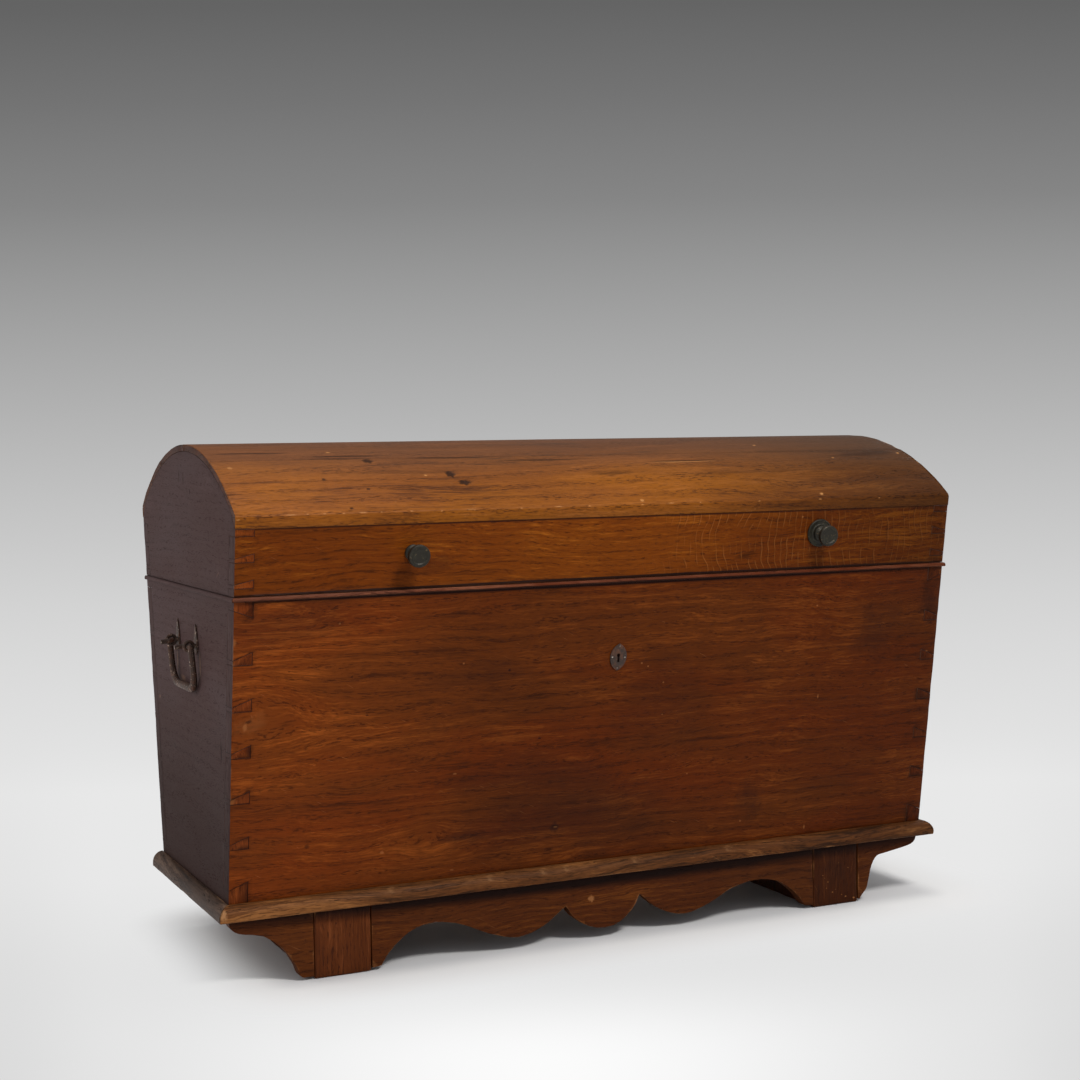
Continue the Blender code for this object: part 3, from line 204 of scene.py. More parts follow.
class Graph:
    """Adds nodes to one shader tree and joins them."""

    def __init__(self, tree: bpy.types.NodeTree) -> None:
        self.tree = tree

    def add(self, kind: str, settings: dict | None = None, **inputs: object) -> bpy.types.Node:
        """Adds one node.

        Args:
            kind: The node type's short name, without ShaderNode.
            settings: The node's own properties.
            **inputs: Values or sockets for inputs, by name with _ for a space.

        Returns:
            The node.
        """
        node = self.tree.nodes.new("ShaderNode" + kind)
        for name, value in (settings or {}).items():
            setattr(node, name, value)
        for name, value in inputs.items():
            self.feed(node.inputs[name.replace("_", " ")], value)
        return node

    def feed(self, socket: Socket, value: object) -> None:
        """Joins a socket to another socket, or sets its value."""
        if isinstance(value, Socket):
            self.tree.links.new(value, socket)
        elif isinstance(value, tuple) and socket.type == "RGBA":
            socket.default_value = (*value, 1.0)
        else:
            socket.default_value = value

    def _fed(self, node: bpy.types.Node, values: tuple) -> bpy.types.Node:
        """The node with its inputs fed in order."""
        for socket, value in zip(node.inputs, values):
            self.feed(socket, value)
        return node

    def math(self, operation: str, *values: object, clamp: bool = False) -> Socket:
        """One operation on numbers."""
        return self._fed(self.add("Math", {"operation": operation, "use_clamp": clamp}), values).outputs[0]

    def vector(self, operation: str, *values: object) -> Socket:
        """One operation on vectors."""
        node = self._fed(self.add("VectorMath", {"operation": operation}), values)
        return node.outputs["Value" if operation in ("LENGTH", "DOT_PRODUCT") else "Vector"]

    def total(self, value: object, *others: object) -> Socket:
        """The sum of the values."""
        for other in others:
            value = self.math("ADD", value, other)
        return value

    def product(self, value: object, *others: object) -> Socket:
        """The product of the values."""
        for other in others:
            value = self.math("MULTIPLY", value, other)
        return value

    def less(self, value: object, taken: object) -> Socket:
        """The first value less the second."""
        return self.math("SUBTRACT", value, taken)

    def ratio(self, value: object, whole: object) -> Socket:
        """The first value divided by the second."""
        return self.math("DIVIDE", value, whole)

    def bell(self, value: object, narrowness: float) -> Socket:
        """A bell curve: 1 where the value is 0, falling on both sides."""
        return self.math("EXPONENT", self.product(value, value, -narrowness))

    def split(self, vector: object) -> list[Socket]:
        """The vector's three numbers."""
        return list(self.add("SeparateXYZ", None, Vector=vector).outputs)

    def join(self, **numbers: object) -> Socket:
        """A vector of the numbers named X, Y and Z, and 0 for one that isn't given."""
        return self.add("CombineXYZ", None, **numbers).outputs[0]

    def noise(self, vector: object, rate: object = 1.0, detail: float = 3.0, rough: float = 0.55) -> Socket:
        """Cloudy noise, 0 to 1.

        Args:
            vector: Where it is looked up.
            rate: How many hills it has per metre, as one number or one for each direction.
            detail: How many finer layers it has.
            rough: How strong they are.

        Returns:
            The noise.
        """
        if isinstance(rate, tuple):
            vector, rate = self.vector("MULTIPLY", vector, rate), 1.0
        inputs = {"Vector": vector, "Scale": rate, "Detail": detail, "Roughness": rough}
        return self.add("TexNoise", None, **inputs).outputs[0]

    def dots(self, vector: object, rate: float) -> Socket:
        """The distance to the nearest of many scattered dots, as a share of their spacing."""
        return self.add("TexVoronoi", None, Vector=vector, Scale=rate).outputs["Distance"]

    def step(self, value: object, low: float, high: float) -> Socket:
        """Rises smoothly from 0 at low to 1 at high, or falls where low is over high."""
        return self.span(value, low, high, 0.0, 1.0)

    def span(self, value: object, low: float, high: float, start: object, end: object) -> Socket:
        """Maps low to high onto start to end, smoothly."""
        limits = {"From_Min": low, "From_Max": high, "To_Min": start, "To_Max": end}
        return self.add("MapRange", {"interpolation_type": "SMOOTHSTEP"}, Value=value, **limits).outputs[0]

    def blend(self, share: object, first: object, second: object, mode: str = "MIX") -> Socket:
        """Mixes two colours."""
        node = self.add("Mix", {"data_type": "RGBA", "blend_type": mode})
        colors = [socket for socket in node.inputs if socket.type == "RGBA"]
        for socket, value in zip((node.inputs[0], *colors), (share, first, second)):
            self.feed(socket, value)
        return next(socket for socket in node.outputs if socket.type == "RGBA")

    def painted(self, name: str) -> Socket:
        """A value painted on the mesh."""
        return self.add("Attribute", {"attribute_name": name}).outputs["Fac"]

    def use(self, group: bpy.types.NodeTree, **inputs: object) -> bpy.types.NodeOutputs:
        """Adds one shared group, feeds its inputs by name and gives its outputs."""
        return self.add("Group", {"node_tree": group}, **inputs).outputs


class Group(Graph):
    """A shared shader group with named inputs and outputs."""

    def __init__(self, name: str, outputs: tuple[str, ...], kind: str = "Float", **inputs: object) -> None:
        """Starts the group, which always has an input named Vector.

        Args:
            name: Its name.
            outputs: The outputs' names.
            kind: What they carry, Float or Vector.
            **inputs: Each other input's value when nothing is joined: a tuple of 3, or a number.
        """
        super().__init__(bpy.data.node_groups.new(name, "ShaderNodeTree"))
        for label, value in {"Vector": ORIGIN, **inputs}.items():
            carries = "NodeSocketVector" if isinstance(value, tuple) else "NodeSocketFloat"
            socket = self.tree.interface.new_socket(label, in_out="INPUT", socket_type=carries)
            socket.default_value = value
        for label in outputs:
            self.tree.interface.new_socket(label, in_out="OUTPUT", socket_type="NodeSocket" + kind)
        self.given = {socket.name: socket for socket in self.tree.nodes.new("NodeGroupInput").outputs}
        self.place = self.given["Vector"]
        self._result = self.tree.nodes.new("NodeGroupOutput")

    def close(self, **outputs: object) -> bpy.types.NodeTree:
        """Feeds the outputs by name and gives the finished group."""
        for name, value in outputs.items():
            self.feed(self._result.inputs[name], value)
        return self.tree


class Effects:
    """The shader groups that the finishes share.

    A noise's rate of three numbers is its hills per metre along, across and through the grain.
    """

    def __init__(self) -> None:
        self.grain = self._grain()
        self.fleck = self._fleck()
        self.patina = self._patina()
        self.spot = self._spot()
        self.swirl = self._swirl()
        self.iron = self._iron()

    @staticmethod
    def _grain() -> bpy.types.NodeTree:
        """Fibres, streaks, yearly rings and open pores of oak, along the vector's first direction."""
        group = Group("oak_grain", ("Figure", "Rings", "Pores", "Height"), Ring=0.012, Wander=0.012)
        wander = group.given["Wander"]
        bend = group.noise(group.place, (2.2, 7.0, 7.0), 2.0)
        small_bend = group.noise(group.place, (14.0, 40.0, 40.0), 2.0)
        lift = group.product(group.less(bend, 0.5), group.product(wander, 6.0))
        small_lift = group.product(group.less(small_bend, 0.5), wander)
        bent = group.vector("ADD", group.place, group.join(Y=group.total(lift, small_lift), Z=lift))
        fibre = group.noise(bent, (22.0, 480.0, 480.0), 3.0, 0.6)
        streak = group.noise(bent, (4.5, 100.0, 100.0), 4.0, 0.62)
        _, across, through = group.split(bent)
        squared = group.total(group.product(across, across), group.product(through, through))
        from_heart = group.math("SQRT", squared)
        wave = group.math("SINE", group.product(group.ratio(from_heart, group.given["Ring"]), math.tau))
        rings = group.step(wave, -0.2, 1.0)
        dashes = group.noise(bent, (85.0, 720.0, 720.0), 2.0, 0.5)
        pores = group.product(group.step(dashes, 0.53, 0.64), group.total(group.product(rings, 0.6), 0.4))
        relief = group.less(group.product(fibre, 0.6), pores)
        return group.close(
            Figure=group.total(group.product(fibre, 0.55), group.product(streak, 0.45)),
            Rings=rings,
            Pores=pores,
            Height=group.total(relief, group.product(rings, 0.12)),
        )

    @staticmethod
    def _fleck() -> bpy.types.NodeTree:
        """Ray fleck of quartered oak: thin curved bars across the grain with a dark side, in patches."""
        group = Group("ray_fleck", ("Fleck", "Shade"), Spacing=0.0115, Amount=1.0)
        warp = group.noise(group.place, (5.0, 17.0, 17.0), 1.0)
        fine_warp = group.noise(group.place, (40.0, 22.0, 22.0), 1.0)
        shift = group.total(group.product(warp, 0.035), group.product(fine_warp, 0.012))
        along = group.total(group.split(group.place)[0], shift)
        turn = group.product(group.ratio(along, group.given["Spacing"]), math.tau)
        bar = group.step(group.math("SINE", turn), 0.80, 0.97)
        dark_side = group.step(group.math("SINE", group.total(turn, 0.75)), 0.80, 0.98)
        patch = group.step(group.noise(group.place, (75.0, 34.0, 34.0), 1.0, 0.5), 0.38, 0.54)
        area = group.step(group.noise(group.place, (5.0, 9.0, 5.0), 1.0), 0.26, 0.46)
        present = group.product(patch, area, group.given["Amount"])
        return group.close(Fleck=group.product(bar, present), Shade=group.product(dark_side, present))

    @staticmethod
    def _patina() -> bpy.types.NodeTree:
        """Clouds of tone, rubbed places, fine scratches and small dark specks."""
        group = Group("patina", ("Cloud", "Tint", "Rub", "Scratch", "Speck"))
        place = group.place
        aside = group.vector("ADD", place, (3.7, 1.9, 0.0))
        turned = {"rotation_type": "EULER_XYZ"}
        tilted = group.add("VectorRotate", turned, Vector=place, Rotation=(0.0, 0.0, 0.5)).outputs[0]
        lines = group.step(group.noise(tilted, (14.0, 520.0, 520.0), 1.0), 0.70, 0.76)
        some = group.step(group.noise(place, 26.0, 1.0), 0.56, 0.66)
        few = group.step(group.noise(place, 17.0, 1.0), 0.58, 0.70)
        return group.close(
            Cloud=group.noise(place, (3.4, 9.0, 9.0), 5.0, 0.62),
            Tint=group.step(group.noise(aside, (2.2, 6.0, 6.0), 3.0, 0.6), 0.38, 0.62),
            Rub=group.step(group.noise(place, (8.0, 20.0, 20.0), 5.0, 0.7), 0.52, 0.74),
            Scratch=group.product(lines, some),
            Speck=group.product(group.step(group.dots(place, 55.0), 0.13, 0.06), few),
        )

    @staticmethod
    def _spot() -> bpy.types.NodeTree:
        """One ragged oval mark: 1 inside, 0 outside."""
        group = Group("spot", ("Mask",), Centre=ORIGIN, Size=(0.01, 0.01, 0.01), Ragged=0.5, Soft=0.5)
        centre, soft = group.given["Centre"], group.given["Soft"]
        away = group.vector("DIVIDE", group.vector("SUBTRACT", group.place, centre), group.given["Size"])
        wide = group.vector("MULTIPLY", away, (1.3, 1.3, 1.3))
        edge = group.noise(group.vector("ADD", wide, centre), rough=0.65)
        ragged = group.product(group.less(edge, 0.5), group.product(group.given["Ragged"], 2.4))
        reach = group.total(group.vector("LENGTH", away), ragged)
        fall = group.math("DIVIDE", group.less(reach, group.less(1.0, soft)), soft, clamp=True)
        return group.close(Mask=group.step(fall, 1.0, 0.0))

    @staticmethod
    def _swirl() -> bpy.types.NodeTree:
        """Bends the grain round a knot."""
        group = Group("knot_swirl", ("Vector",), "Vector", Centre=ORIGIN, Radius=0.05)
        along, _, up = group.split(group.vector("SUBTRACT", group.place, group.given["Centre"]))
        flat = group.join(X=group.product(along, 0.6), Y=up)
        near = group.bell(group.ratio(group.vector("LENGTH", flat), group.given["Radius"]), 1.0)
        push = group.join(Z=group.product(near, up, -0.8))
        return group.close(Vector=group.vector("ADD", group.place, push))

    @staticmethod
    def _iron() -> bpy.types.NodeTree:
        """Scale, rust and pits of old forged iron."""
        group = Group("forged_iron", ("Rust", "Pits", "Hammer", "Shine"))
        place = group.place
        pitted = group.step(group.noise(place, 160.0, 2.0), 0.45, 0.6)
        return group.close(
            Rust=group.step(group.noise(place, 90.0, 5.0, 0.65), 0.44, 0.64),
            Pits=group.product(group.step(group.dots(place, 900.0), 0.35, 0.12), pitted),
            Hammer=group.noise(place, 130.0, 1.0),
            Shine=group.step(group.noise(place, 260.0, 3.0, 0.6), 0.50, 0.68),
        )


# Finishes


@dataclass(frozen=True)
class Mark:
    """A stained patch, dent or pale fleck at one place; some are painted shade or painted highlight.

    Attributes:
        place: Its centre on the board's face.
        size: Half its length, height and depth, in metres.
        strength: How much it colours the wood; below 0 it darkens, above 0 it lightens.
        depth: How deep it is dented, in metres.
        ragged: How uneven its edge is.
        soft: How wide its fade is, from 0 to 1.
    """

    place: Vector
    size: Triple
    strength: float
    depth: float = 0.0
    ragged: float = 0.6
    soft: float = 0.6


Marks = tuple[Mark, ...]
Knots = tuple[tuple[Vector, float], ...]


@dataclass(frozen=True)
class OakFinish:
    """One board's wood and how it has aged.

    Attributes:
        name: Its name.
        slot: The name of a material slot; not used.
        pale: The lightest streaks.
        body: The usual tone.
        deep: The darkest streaks.
        bare: Rubbed wood at arrises and chips.
        other: A second tone that comes and goes over the board.
        fleck: How much ray fleck shows.
        fleck_from: Where along the chest the ray fleck grows strong.
        contrast: How strongly the figure shows.
        ring: The yearly rings' spacing, in metres.
        roughness: The wax's roughness.
        sheen: How strongly the wax mirrors.
        left_gain: Brightness at the left end, against the middle, partly the wood's tone and partly painted
            light.
        right_gain: Brightness at the right end, against the middle, partly the wood's tone and partly painted
            light.
        painted_light_tone: A tone of painted light that the board takes toward one height, or none.
        painted_light_start: The height where that starts.
        painted_light_end: The height where it is full.
        grime: How dark the joints are.
        rub: How far rubbed arrises show bare wood.
        bump: The strength of the fine relief.
    """

    name: str
    slot: str
    pale: Color
    body: Color
    deep: Color
    bare: Color
    other: Color
    fleck: float = 0.0
    fleck_from: float = -2.0
    contrast: float = 1.0
    ring: float = 0.014
    roughness: float = 0.42
    sheen: float = 0.14
    left_gain: float = 1.0
    right_gain: float = 1.0
    painted_light_tone: Color | None = None
    painted_light_start: float = 0.0
    painted_light_end: float = 1.0
    grime: float = 0.8
    rub: float = 0.5
    bump: float = 0.8


FRONT_OAK = OakFinish(
    "front", "front_oak",
    srgb(112, 56, 16), srgb(79, 36, 8), srgb(47, 19, 5), srgb(146, 92, 50), srgb(83, 32, 5),
    contrast=0.75, ring=0.019, sheen=0.05, left_gain=1.65, right_gain=0.80, grime=0.95,
)
LID_FRONT_OAK = replace(
    FRONT_OAK, name="lid_front", pale=srgb(140, 78, 18), body=srgb(104, 50, 7), deep=srgb(62, 27, 5),
    other=srgb(98, 43, 6), fleck=0.6, fleck_from=0.0, ring=0.011, left_gain=0.95, right_gain=0.45, grime=0.55,
)
ROOF_OAK = OakFinish(
    "roof", "roof_oak",
    srgb(142, 84, 32), srgb(114, 63, 19), srgb(66, 33, 12), srgb(186, 132, 78), srgb(130, 74, 12),
    contrast=0.85, ring=0.016, roughness=0.40, sheen=0.07, left_gain=1.25, right_gain=0.3,
    # Painted sheen: the roof turns greyer toward its crown
    painted_light_tone=srgb(112, 86, 67), painted_light_start=0.715, painted_light_end=0.77, grime=0.3, rub=0.8,
)
ROOF_EDGE_OAK = replace(
    ROOF_OAK, name="roof_edge", pale=srgb(104, 60, 36), body=srgb(76, 43, 29), deep=srgb(46, 24, 16),
    bare=srgb(120, 76, 50), other=srgb(70, 38, 26), left_gain=1.0, painted_light_tone=None, rub=0.3,
)
END_OAK = OakFinish(
    "end", "end_oak",
    srgb(98, 79, 78), srgb(76, 58, 57), srgb(48, 35, 34), srgb(146, 112, 90), srgb(72, 51, 48),
    contrast=0.36, ring=0.011, roughness=0.62, sheen=0.07, bump=0.6, grime=0.35,
    # Painted shade: the end turns darker toward its foot
    painted_light_tone=srgb(58, 32, 22), painted_light_start=0.46, painted_light_end=0.16,
)
BACK_OAK = OakFinish(
    "back", "back_oak",
    srgb(112, 74, 50), srgb(84, 52, 34), srgb(52, 32, 22), srgb(150, 108, 74), srgb(76, 50, 36),
    contrast=0.8, ring=0.017, roughness=0.62, sheen=0.2, bump=0.6,
)
BASE_OAK = OakFinish(
    "base", "base_oak",
    srgb(102, 55, 18), srgb(74, 36, 11), srgb(42, 19, 7), srgb(160, 106, 62), srgb(69, 31, 9),
    contrast=0.75, ring=0.012, roughness=0.5, sheen=0.06, left_gain=1.15, right_gain=0.85,
)
RUNNER_OAK = replace(
    BASE_OAK, name="runner", pale=srgb(110, 59, 28), body=srgb(82, 40, 16), deep=srgb(50, 24, 12),
    ring=0.006, right_gain=0.45,
)
MOULDING_OAK = OakFinish(
    "moulding", "moulding_oak",
    srgb(124, 80, 42), srgb(90, 54, 26), srgb(48, 27, 12), srgb(160, 116, 76), srgb(84, 46, 19),
    contrast=1.2, ring=0.01, roughness=0.5, sheen=0.08, left_gain=1.15, right_gain=0.75, rub=0.5,
)
END_MOULDING_OAK = replace(
    MOULDING_OAK, name="end_moulding", pale=srgb(98, 76, 62), body=srgb(74, 55, 44), deep=srgb(44, 32, 26),
    other=srgb(68, 48, 36), sheen=0.15, left_gain=1.0, right_gain=1.0,
)
BEAD_OAK = replace(
    FRONT_OAK, name="bead", pale=srgb(116, 70, 48), body=srgb(92, 52, 36), deep=srgb(56, 28, 18),
    left_gain=1.1,
)
PIN_OAK = replace(
    FRONT_OAK, name="pins", pale=srgb(102, 50, 18), body=srgb(75, 33, 10), deep=srgb(44, 17, 6), ring=0.004,
)
LID_PIN_OAK = replace(PIN_OAK, name="lid_pins", body=srgb(92, 42, 9), right_gain=0.5)
TAIL_OAK = replace(END_OAK, name="tails", contrast=0.6, ring=0.005)
BARE_OAK = OakFinish(
    "inside", "bare_oak",
    srgb(150, 116, 80), srgb(122, 90, 60), srgb(84, 58, 38), srgb(160, 124, 88), srgb(112, 80, 52),
    ring=0.013, roughness=0.75, sheen=0.2, grime=0.6,
)


@dataclass(frozen=True)
class MetalFinish:
    """One metal and how it has aged.

    Attributes:
        name: Its name.
        slot: The name of a material slot; not used.
        dark: The scale or patina in the hollows.
        clean: The rubbed metal.
        rust: The corroded patches.
        roughness: The roughness of the rubbed metal.
        wear: How much clean metal shows, 0 to 1.
        metallic: How metallic the rubbed places are.
    """

    name: str
    slot: str
    dark: Color
    clean: Color
    rust: Color
    roughness: float = 0.42
    wear: float = 0.4
    metallic: float = 0.9


WROUGHT_IRON = MetalFinish(
    "wrought_iron", "wrought_iron", srgb(70, 54, 46), srgb(168, 146, 130), srgb(108, 66, 44), 0.36, 0.5,
)
KEY_PLATE_IRON = replace(
    WROUGHT_IRON, name="key_plate", dark=srgb(58, 46, 40), clean=srgb(120, 102, 84), wear=0.3,
)
BRIGHT_IRON = MetalFinish(
    "bright_iron", "bright_iron", srgb(90, 86, 82), srgb(168, 164, 158), srgb(98, 66, 46), 0.34, 0.75,
)
KNOB_BRONZE = MetalFinish(
    "knob_bronze", "knob_bronze", srgb(36, 32, 24), srgb(112, 96, 70), srgb(48, 46, 33), 0.26, 0.3,
)
NAIL_IRON = MetalFinish(
    "nail_iron", "wrought_iron", srgb(104, 96, 90), srgb(206, 196, 184), srgb(110, 76, 54), 0.3, 0.8,
)


def principled(name: str) -> tuple[bpy.types.Material, Graph, bpy.types.Node]:
    """A new material with one Principled shader.

    Args:
        name: The material's name.

    Returns:
        The material, its graph and its shader.
    """
    material = bpy.data.materials.new(name)
    material.use_nodes = True
    shader = material.node_tree.nodes["Principled BSDF"]
    return material, Graph(material.node_tree), shader


@dataclass
class Workshop:
    """Makes materials from finishes, each once.

    Attributes:
        wander: How far the grain wanders from straight, in metres.
        streak_share: How strongly the fibres and streaks move the tone.
        cloud_share: How strongly the clouds move it.
        ring_share: How strongly the yearly rings move it; below 0 they darken it.
        wood_relief: The height of the wood's fine relief.
        iron_relief: The height of the iron's hammering and pits.
        stain_and_shade: The colour of dark marks, which are stains and painted shade.
        dirt: The colour of the dirt in joints.
        pit: The colour of pits in metal.
        effects: The shared shader groups.
        made: The finished materials.
    """

    wander: float = 0.012
    streak_share: float = 2.4
    cloud_share: float = 1.5
    ring_share: float = -0.13
    wood_relief: float = 0.3 * MILLIMETRE
    iron_relief: float = 0.5 * MILLIMETRE
    stain_and_shade: Color = srgb(22, 12, 10)
    dirt: Color = srgb(16, 9, 6)
    pit: Color = srgb(20, 14, 12)
    effects: Effects = field(default_factory=Effects)
    made: dict[tuple, bpy.types.Material] = field(default_factory=dict)

    @staticmethod
    def _direction(graph: Graph, place: Socket, grain: Grain, seed: int) -> Socket:
        """The board's own coordinates: along, across and through the grain, each board cut elsewhere."""
        axes = graph.split(place)
        along, across, through = grain.value
        rng = np.random.default_rng(seed)
        offset = (rng.uniform(-4, 4), rng.uniform(-0.25, 0.25), rng.uniform(0.05, 0.4))
        return graph.vector("ADD", graph.join(X=axes[along], Y=axes[across], Z=axes[through]), offset)

    def _figured(self, graph: Graph, finish: OakFinish, figure: Outputs, patina: Outputs) -> Socket:
        """The wood's tone: dark, usual and pale streaks, and its dark pores."""
        contrast = finish.contrast
        streaks = graph.product(graph.less(figure["Figure"], 0.5), self.streak_share * contrast)
        clouds = graph.product(graph.less(patina["Cloud"], 0.5), self.cloud_share * contrast)
        rings = graph.product(figure["Rings"], self.ring_share * contrast)
        value = graph.total(streaks, clouds, rings)
        value = graph.math("ADD", value, 0.5 + 0.05 * contrast, clamp=True)
        body = graph.blend(graph.product(patina["Tint"], 0.8), finish.body, finish.other)
        tone = graph.blend(graph.step(value, 0.0, 0.5), finish.deep, body)
        tone = graph.blend(graph.step(value, 0.5, 1.0), tone, finish.pale)
        return graph.blend(graph.product(figure["Pores"], min(1.0, 1.05 * contrast)), tone, finish.deep)

    def _flecked(self, graph: Graph, finish: OakFinish, tone: Socket, place: Socket, x: Socket) -> Socket:
        """The tone with ray fleck, which grows stronger from one place along the chest."""
        amount = graph.span(x, finish.fleck_from, finish.fleck_from + 0.15, 0.0, finish.fleck)
        ray = graph.use(self.effects.fleck, Vector=place, Amount=amount)
        tone = graph.blend(graph.product(ray["Shade"], 0.55), tone, finish.deep)
        bright = graph.blend(0.5, finish.pale, finish.bare)
        return graph.blend(graph.product(ray["Fleck"], 0.75), tone, bright)

    @staticmethod
    def _aged(graph: Graph, finish: OakFinish, tone: Socket, x: Socket, z: Socket) -> Socket:
        """The tone changed from end to end, partly the wood's own tone and partly painted light, and by
        height.
        """
        # Painted light in part: brighter toward one end and darker toward the other
        left = graph.span(x, -HALF_LENGTH, -0.1, finish.left_gain, 1.0)
        right = graph.span(x, 0.0, HALF_LENGTH, 1.0, finish.right_gain)
        tone = graph.vector("SCALE", tone)
        graph.feed(tone.node.inputs["Scale"], graph.product(left, right))
        if not finish.painted_light_tone:
            return tone
        # Painted light by height: painted sheen at the roof's crown, painted shade at an end's foot
        share = graph.span(z, finish.painted_light_start, finish.painted_light_end, 0.0, 0.75)
        return graph.blend(share, tone, graph.blend(0.6, finish.painted_light_tone, tone, "OVERLAY"))

    def _marked(self, graph: Graph, bare: Color, tone: Socket, world: Socket, marks: Marks) -> Socket:
        """The tone with its stains and pale flecks, and its patches of painted shade and painted highlight.
        """
        for mark in marks:
            shape = {"Centre": mark.place, "Size": mark.size, "Ragged": mark.ragged, "Soft": mark.soft}
            mask = graph.use(self.effects.spot, Vector=world, **shape)["Mask"]
            color = bare if mark.strength > 0 else self.stain_and_shade
            tone = graph.blend(graph.product(mask, abs(mark.strength)), tone, color)
        return tone

    def _worn(self, graph: Graph, finish: OakFinish, part: Part, tone: Socket, patina: Outputs) -> Socket:
        """The tone with rubbed arrises and dirt in the joints."""
        worn = graph.total(graph.painted("wear"), graph.product(patina["Rub"], 0.45))
        tone = graph.blend(graph.product(graph.step(worn, 0.75, 1.25), finish.rub), tone, finish.bare)
        dirt = 1.0
        if part is not Part.JOINT:
            dirt = graph.product(graph.painted("grime"), graph.span(patina["Cloud"], 0.3, 0.7, 0.35, 1.0))
        return graph.blend(graph.product(dirt, finish.grime), tone, self.dirt)

    def oak(
        self, finish: OakFinish, part: Part, grain: Grain, seed: int,
        marks: Marks = (), knots: Knots = (),
    ) -> bpy.types.Material:
        """Oak, for one kind of face of one board.

        Args:
            finish: Its colours and wax.
            part: The kind of face.
            grain: Which way the grain runs.
            seed: Picks the cut of the log.
            marks: Stains and chips at their places.
            knots: Knots that the grain bends round, each a place and a radius.

        Returns:
            The material.
        """
        key = (finish.name, part, grain, seed)
        if key in self.made:
            return self.made[key]
        material, graph, shader = principled(f"oak_{finish.name}_{part.name.lower()}_{seed}")
        world = graph.add("TexCoord").outputs["Object"]
        x, _, z = graph.split(world)
        bent = world
        for centre, radius in knots:
            bent = graph.use(self.effects.swirl, Vector=bent, Centre=centre, Radius=radius)["Vector"]
        place = self._direction(graph, bent, grain, seed)
        if part is Part.END_GRAIN:
            along, across, through = graph.split(place)
            place = graph.join(X=across, Y=through, Z=along)
        figure = graph.use(self.effects.grain, Vector=place, Ring=finish.ring, Wander=self.wander)
        patina = graph.use(self.effects.patina, Vector=place)
        tone = self._figured(graph, finish, figure, patina)
        if finish.fleck and part is Part.FACE:
            tone = self._flecked(graph, finish, tone, place, x)
        tone = graph.blend(graph.product(patina["Speck"], 0.7), tone, finish.deep)
        tone = graph.blend(graph.product(patina["Scratch"], 0.25), tone, finish.bare)
        tone = self._aged(graph, finish, tone, x, z)
        tone = self._marked(graph, finish.bare, tone, world, marks)
        graph.feed(shader.inputs["Base Color"], self._worn(graph, finish, part, tone, patina))
        waxed = graph.total(finish.roughness - 0.08, graph.product(patina["Cloud"], 0.22))
        rough = graph.math("ADD", waxed, graph.product(figure["Pores"], 0.2), clamp=True)
        graph.feed(shader.inputs["Roughness"], rough)
        shader.inputs["Specular IOR Level"].default_value = finish.sheen
        height = graph.less(figure["Height"], graph.product(patina["Scratch"], 0.6))
        bump = graph.add("Bump", None, Strength=finish.bump, Distance=self.wood_relief, Height=height)
        graph.feed(shader.inputs["Normal"], bump.outputs[0])
        self.made[key] = material
        return material

    def metal(self, finish: MetalFinish) -> bpy.types.Material:
        """Aged metal.

        Args:
            finish: Its colours and shine.

        Returns:
            The material.
        """
        key = (finish.name,)
        if key in self.made:
            return self.made[key]
        material, graph, shader = principled(finish.name)
        iron = graph.use(self.effects.iron, Vector=graph.add("TexCoord").outputs["Object"])
        rubbed = graph.total(iron["Shine"], graph.painted("wear"))
        wear = graph.step(rubbed, 1.1 - finish.wear, 1.5 - finish.wear)
        tone = graph.blend(graph.product(iron["Rust"], 0.6), finish.dark, finish.rust)
        tone = graph.blend(wear, tone, finish.clean)
        tone = graph.blend(graph.product(iron["Pits"], 0.6), tone, self.pit)
        dull = min(0.75, finish.roughness + 0.25)
        graph.feed(shader.inputs["Base Color"], tone)
        metallic = graph.span(wear, 0.0, 1.0, 0.55 * finish.metallic, finish.metallic)
        graph.feed(shader.inputs["Metallic"], metallic)
        graph.feed(shader.inputs["Roughness"], graph.span(wear, 0.0, 1.0, dull, finish.roughness))
        height = graph.less(graph.product(iron["Hammer"], 1.4), graph.product(iron["Pits"], 0.4))
        bump = graph.add("Bump", None, Strength=0.6, Distance=self.iron_relief, Height=height)
        graph.feed(shader.inputs["Normal"], bump.outputs[0])
        self.made[key] = material
        return material


# Worn meshes

# How near a point counts as lying on a surface, and what counts as an edge to wear
ON_WALL = 0.5 * MILLIMETRE
ON_DOME = 0.8 * MILLIMETRE
WELD_GAP = 0.02 * MILLIMETRE
FLAT = math.radians(0.3)
LEAST_EDGE = 1.5 * MILLIMETRE
SHARP = math.radians(30)
EDGE_SAMPLE = 4 * MILLIMETRE
# A cut through the mesh stays clear of the board's own points by this much
CUT_SHIFT = 0.013 * MILLIMETRE
CUT_GAP = 0.01 * MILLIMETRE
# How far the finer mesh round a dent reaches, as shares of the dent, from the first round to the last
REFINED = (2.2, 1.8, 1.5)
# How much of a direction a face has to face to count as shown in it, or as lying across it
SHOWN = 0.4
MOSTLY = 0.5
ACROSS = 0.8
# How far wear and dirt reach from an edge
RUBBED_REACH = 3.5 * MILLIMETRE
PAINTED_REACH = 5 * MILLIMETRE
GRIME_REACH = 0.9 * MILLIMETRE
# Layers of noise, each with its spacing in metres, its seed and its share
HOLLOWS = ((0.16, 3, 0.7), (0.05, 4, 0.3))
RUBBINGS = ((0.045, 5, 0.6), (0.014, 6, 0.4))
FAR_OFF = 1.0
# Arrises are rubbed back where a noise passes a start, and all of them are worn a little
RUB_GAIN = 1.9
RUB_START = 0.75
DENT_STEEPNESS = 1.6
LEAST_WEAR = 0.35
# Bare insides are cut from a few logs only, so that their materials are shared
INSIDE_SEED = 70
INSIDE_LOGS = 3


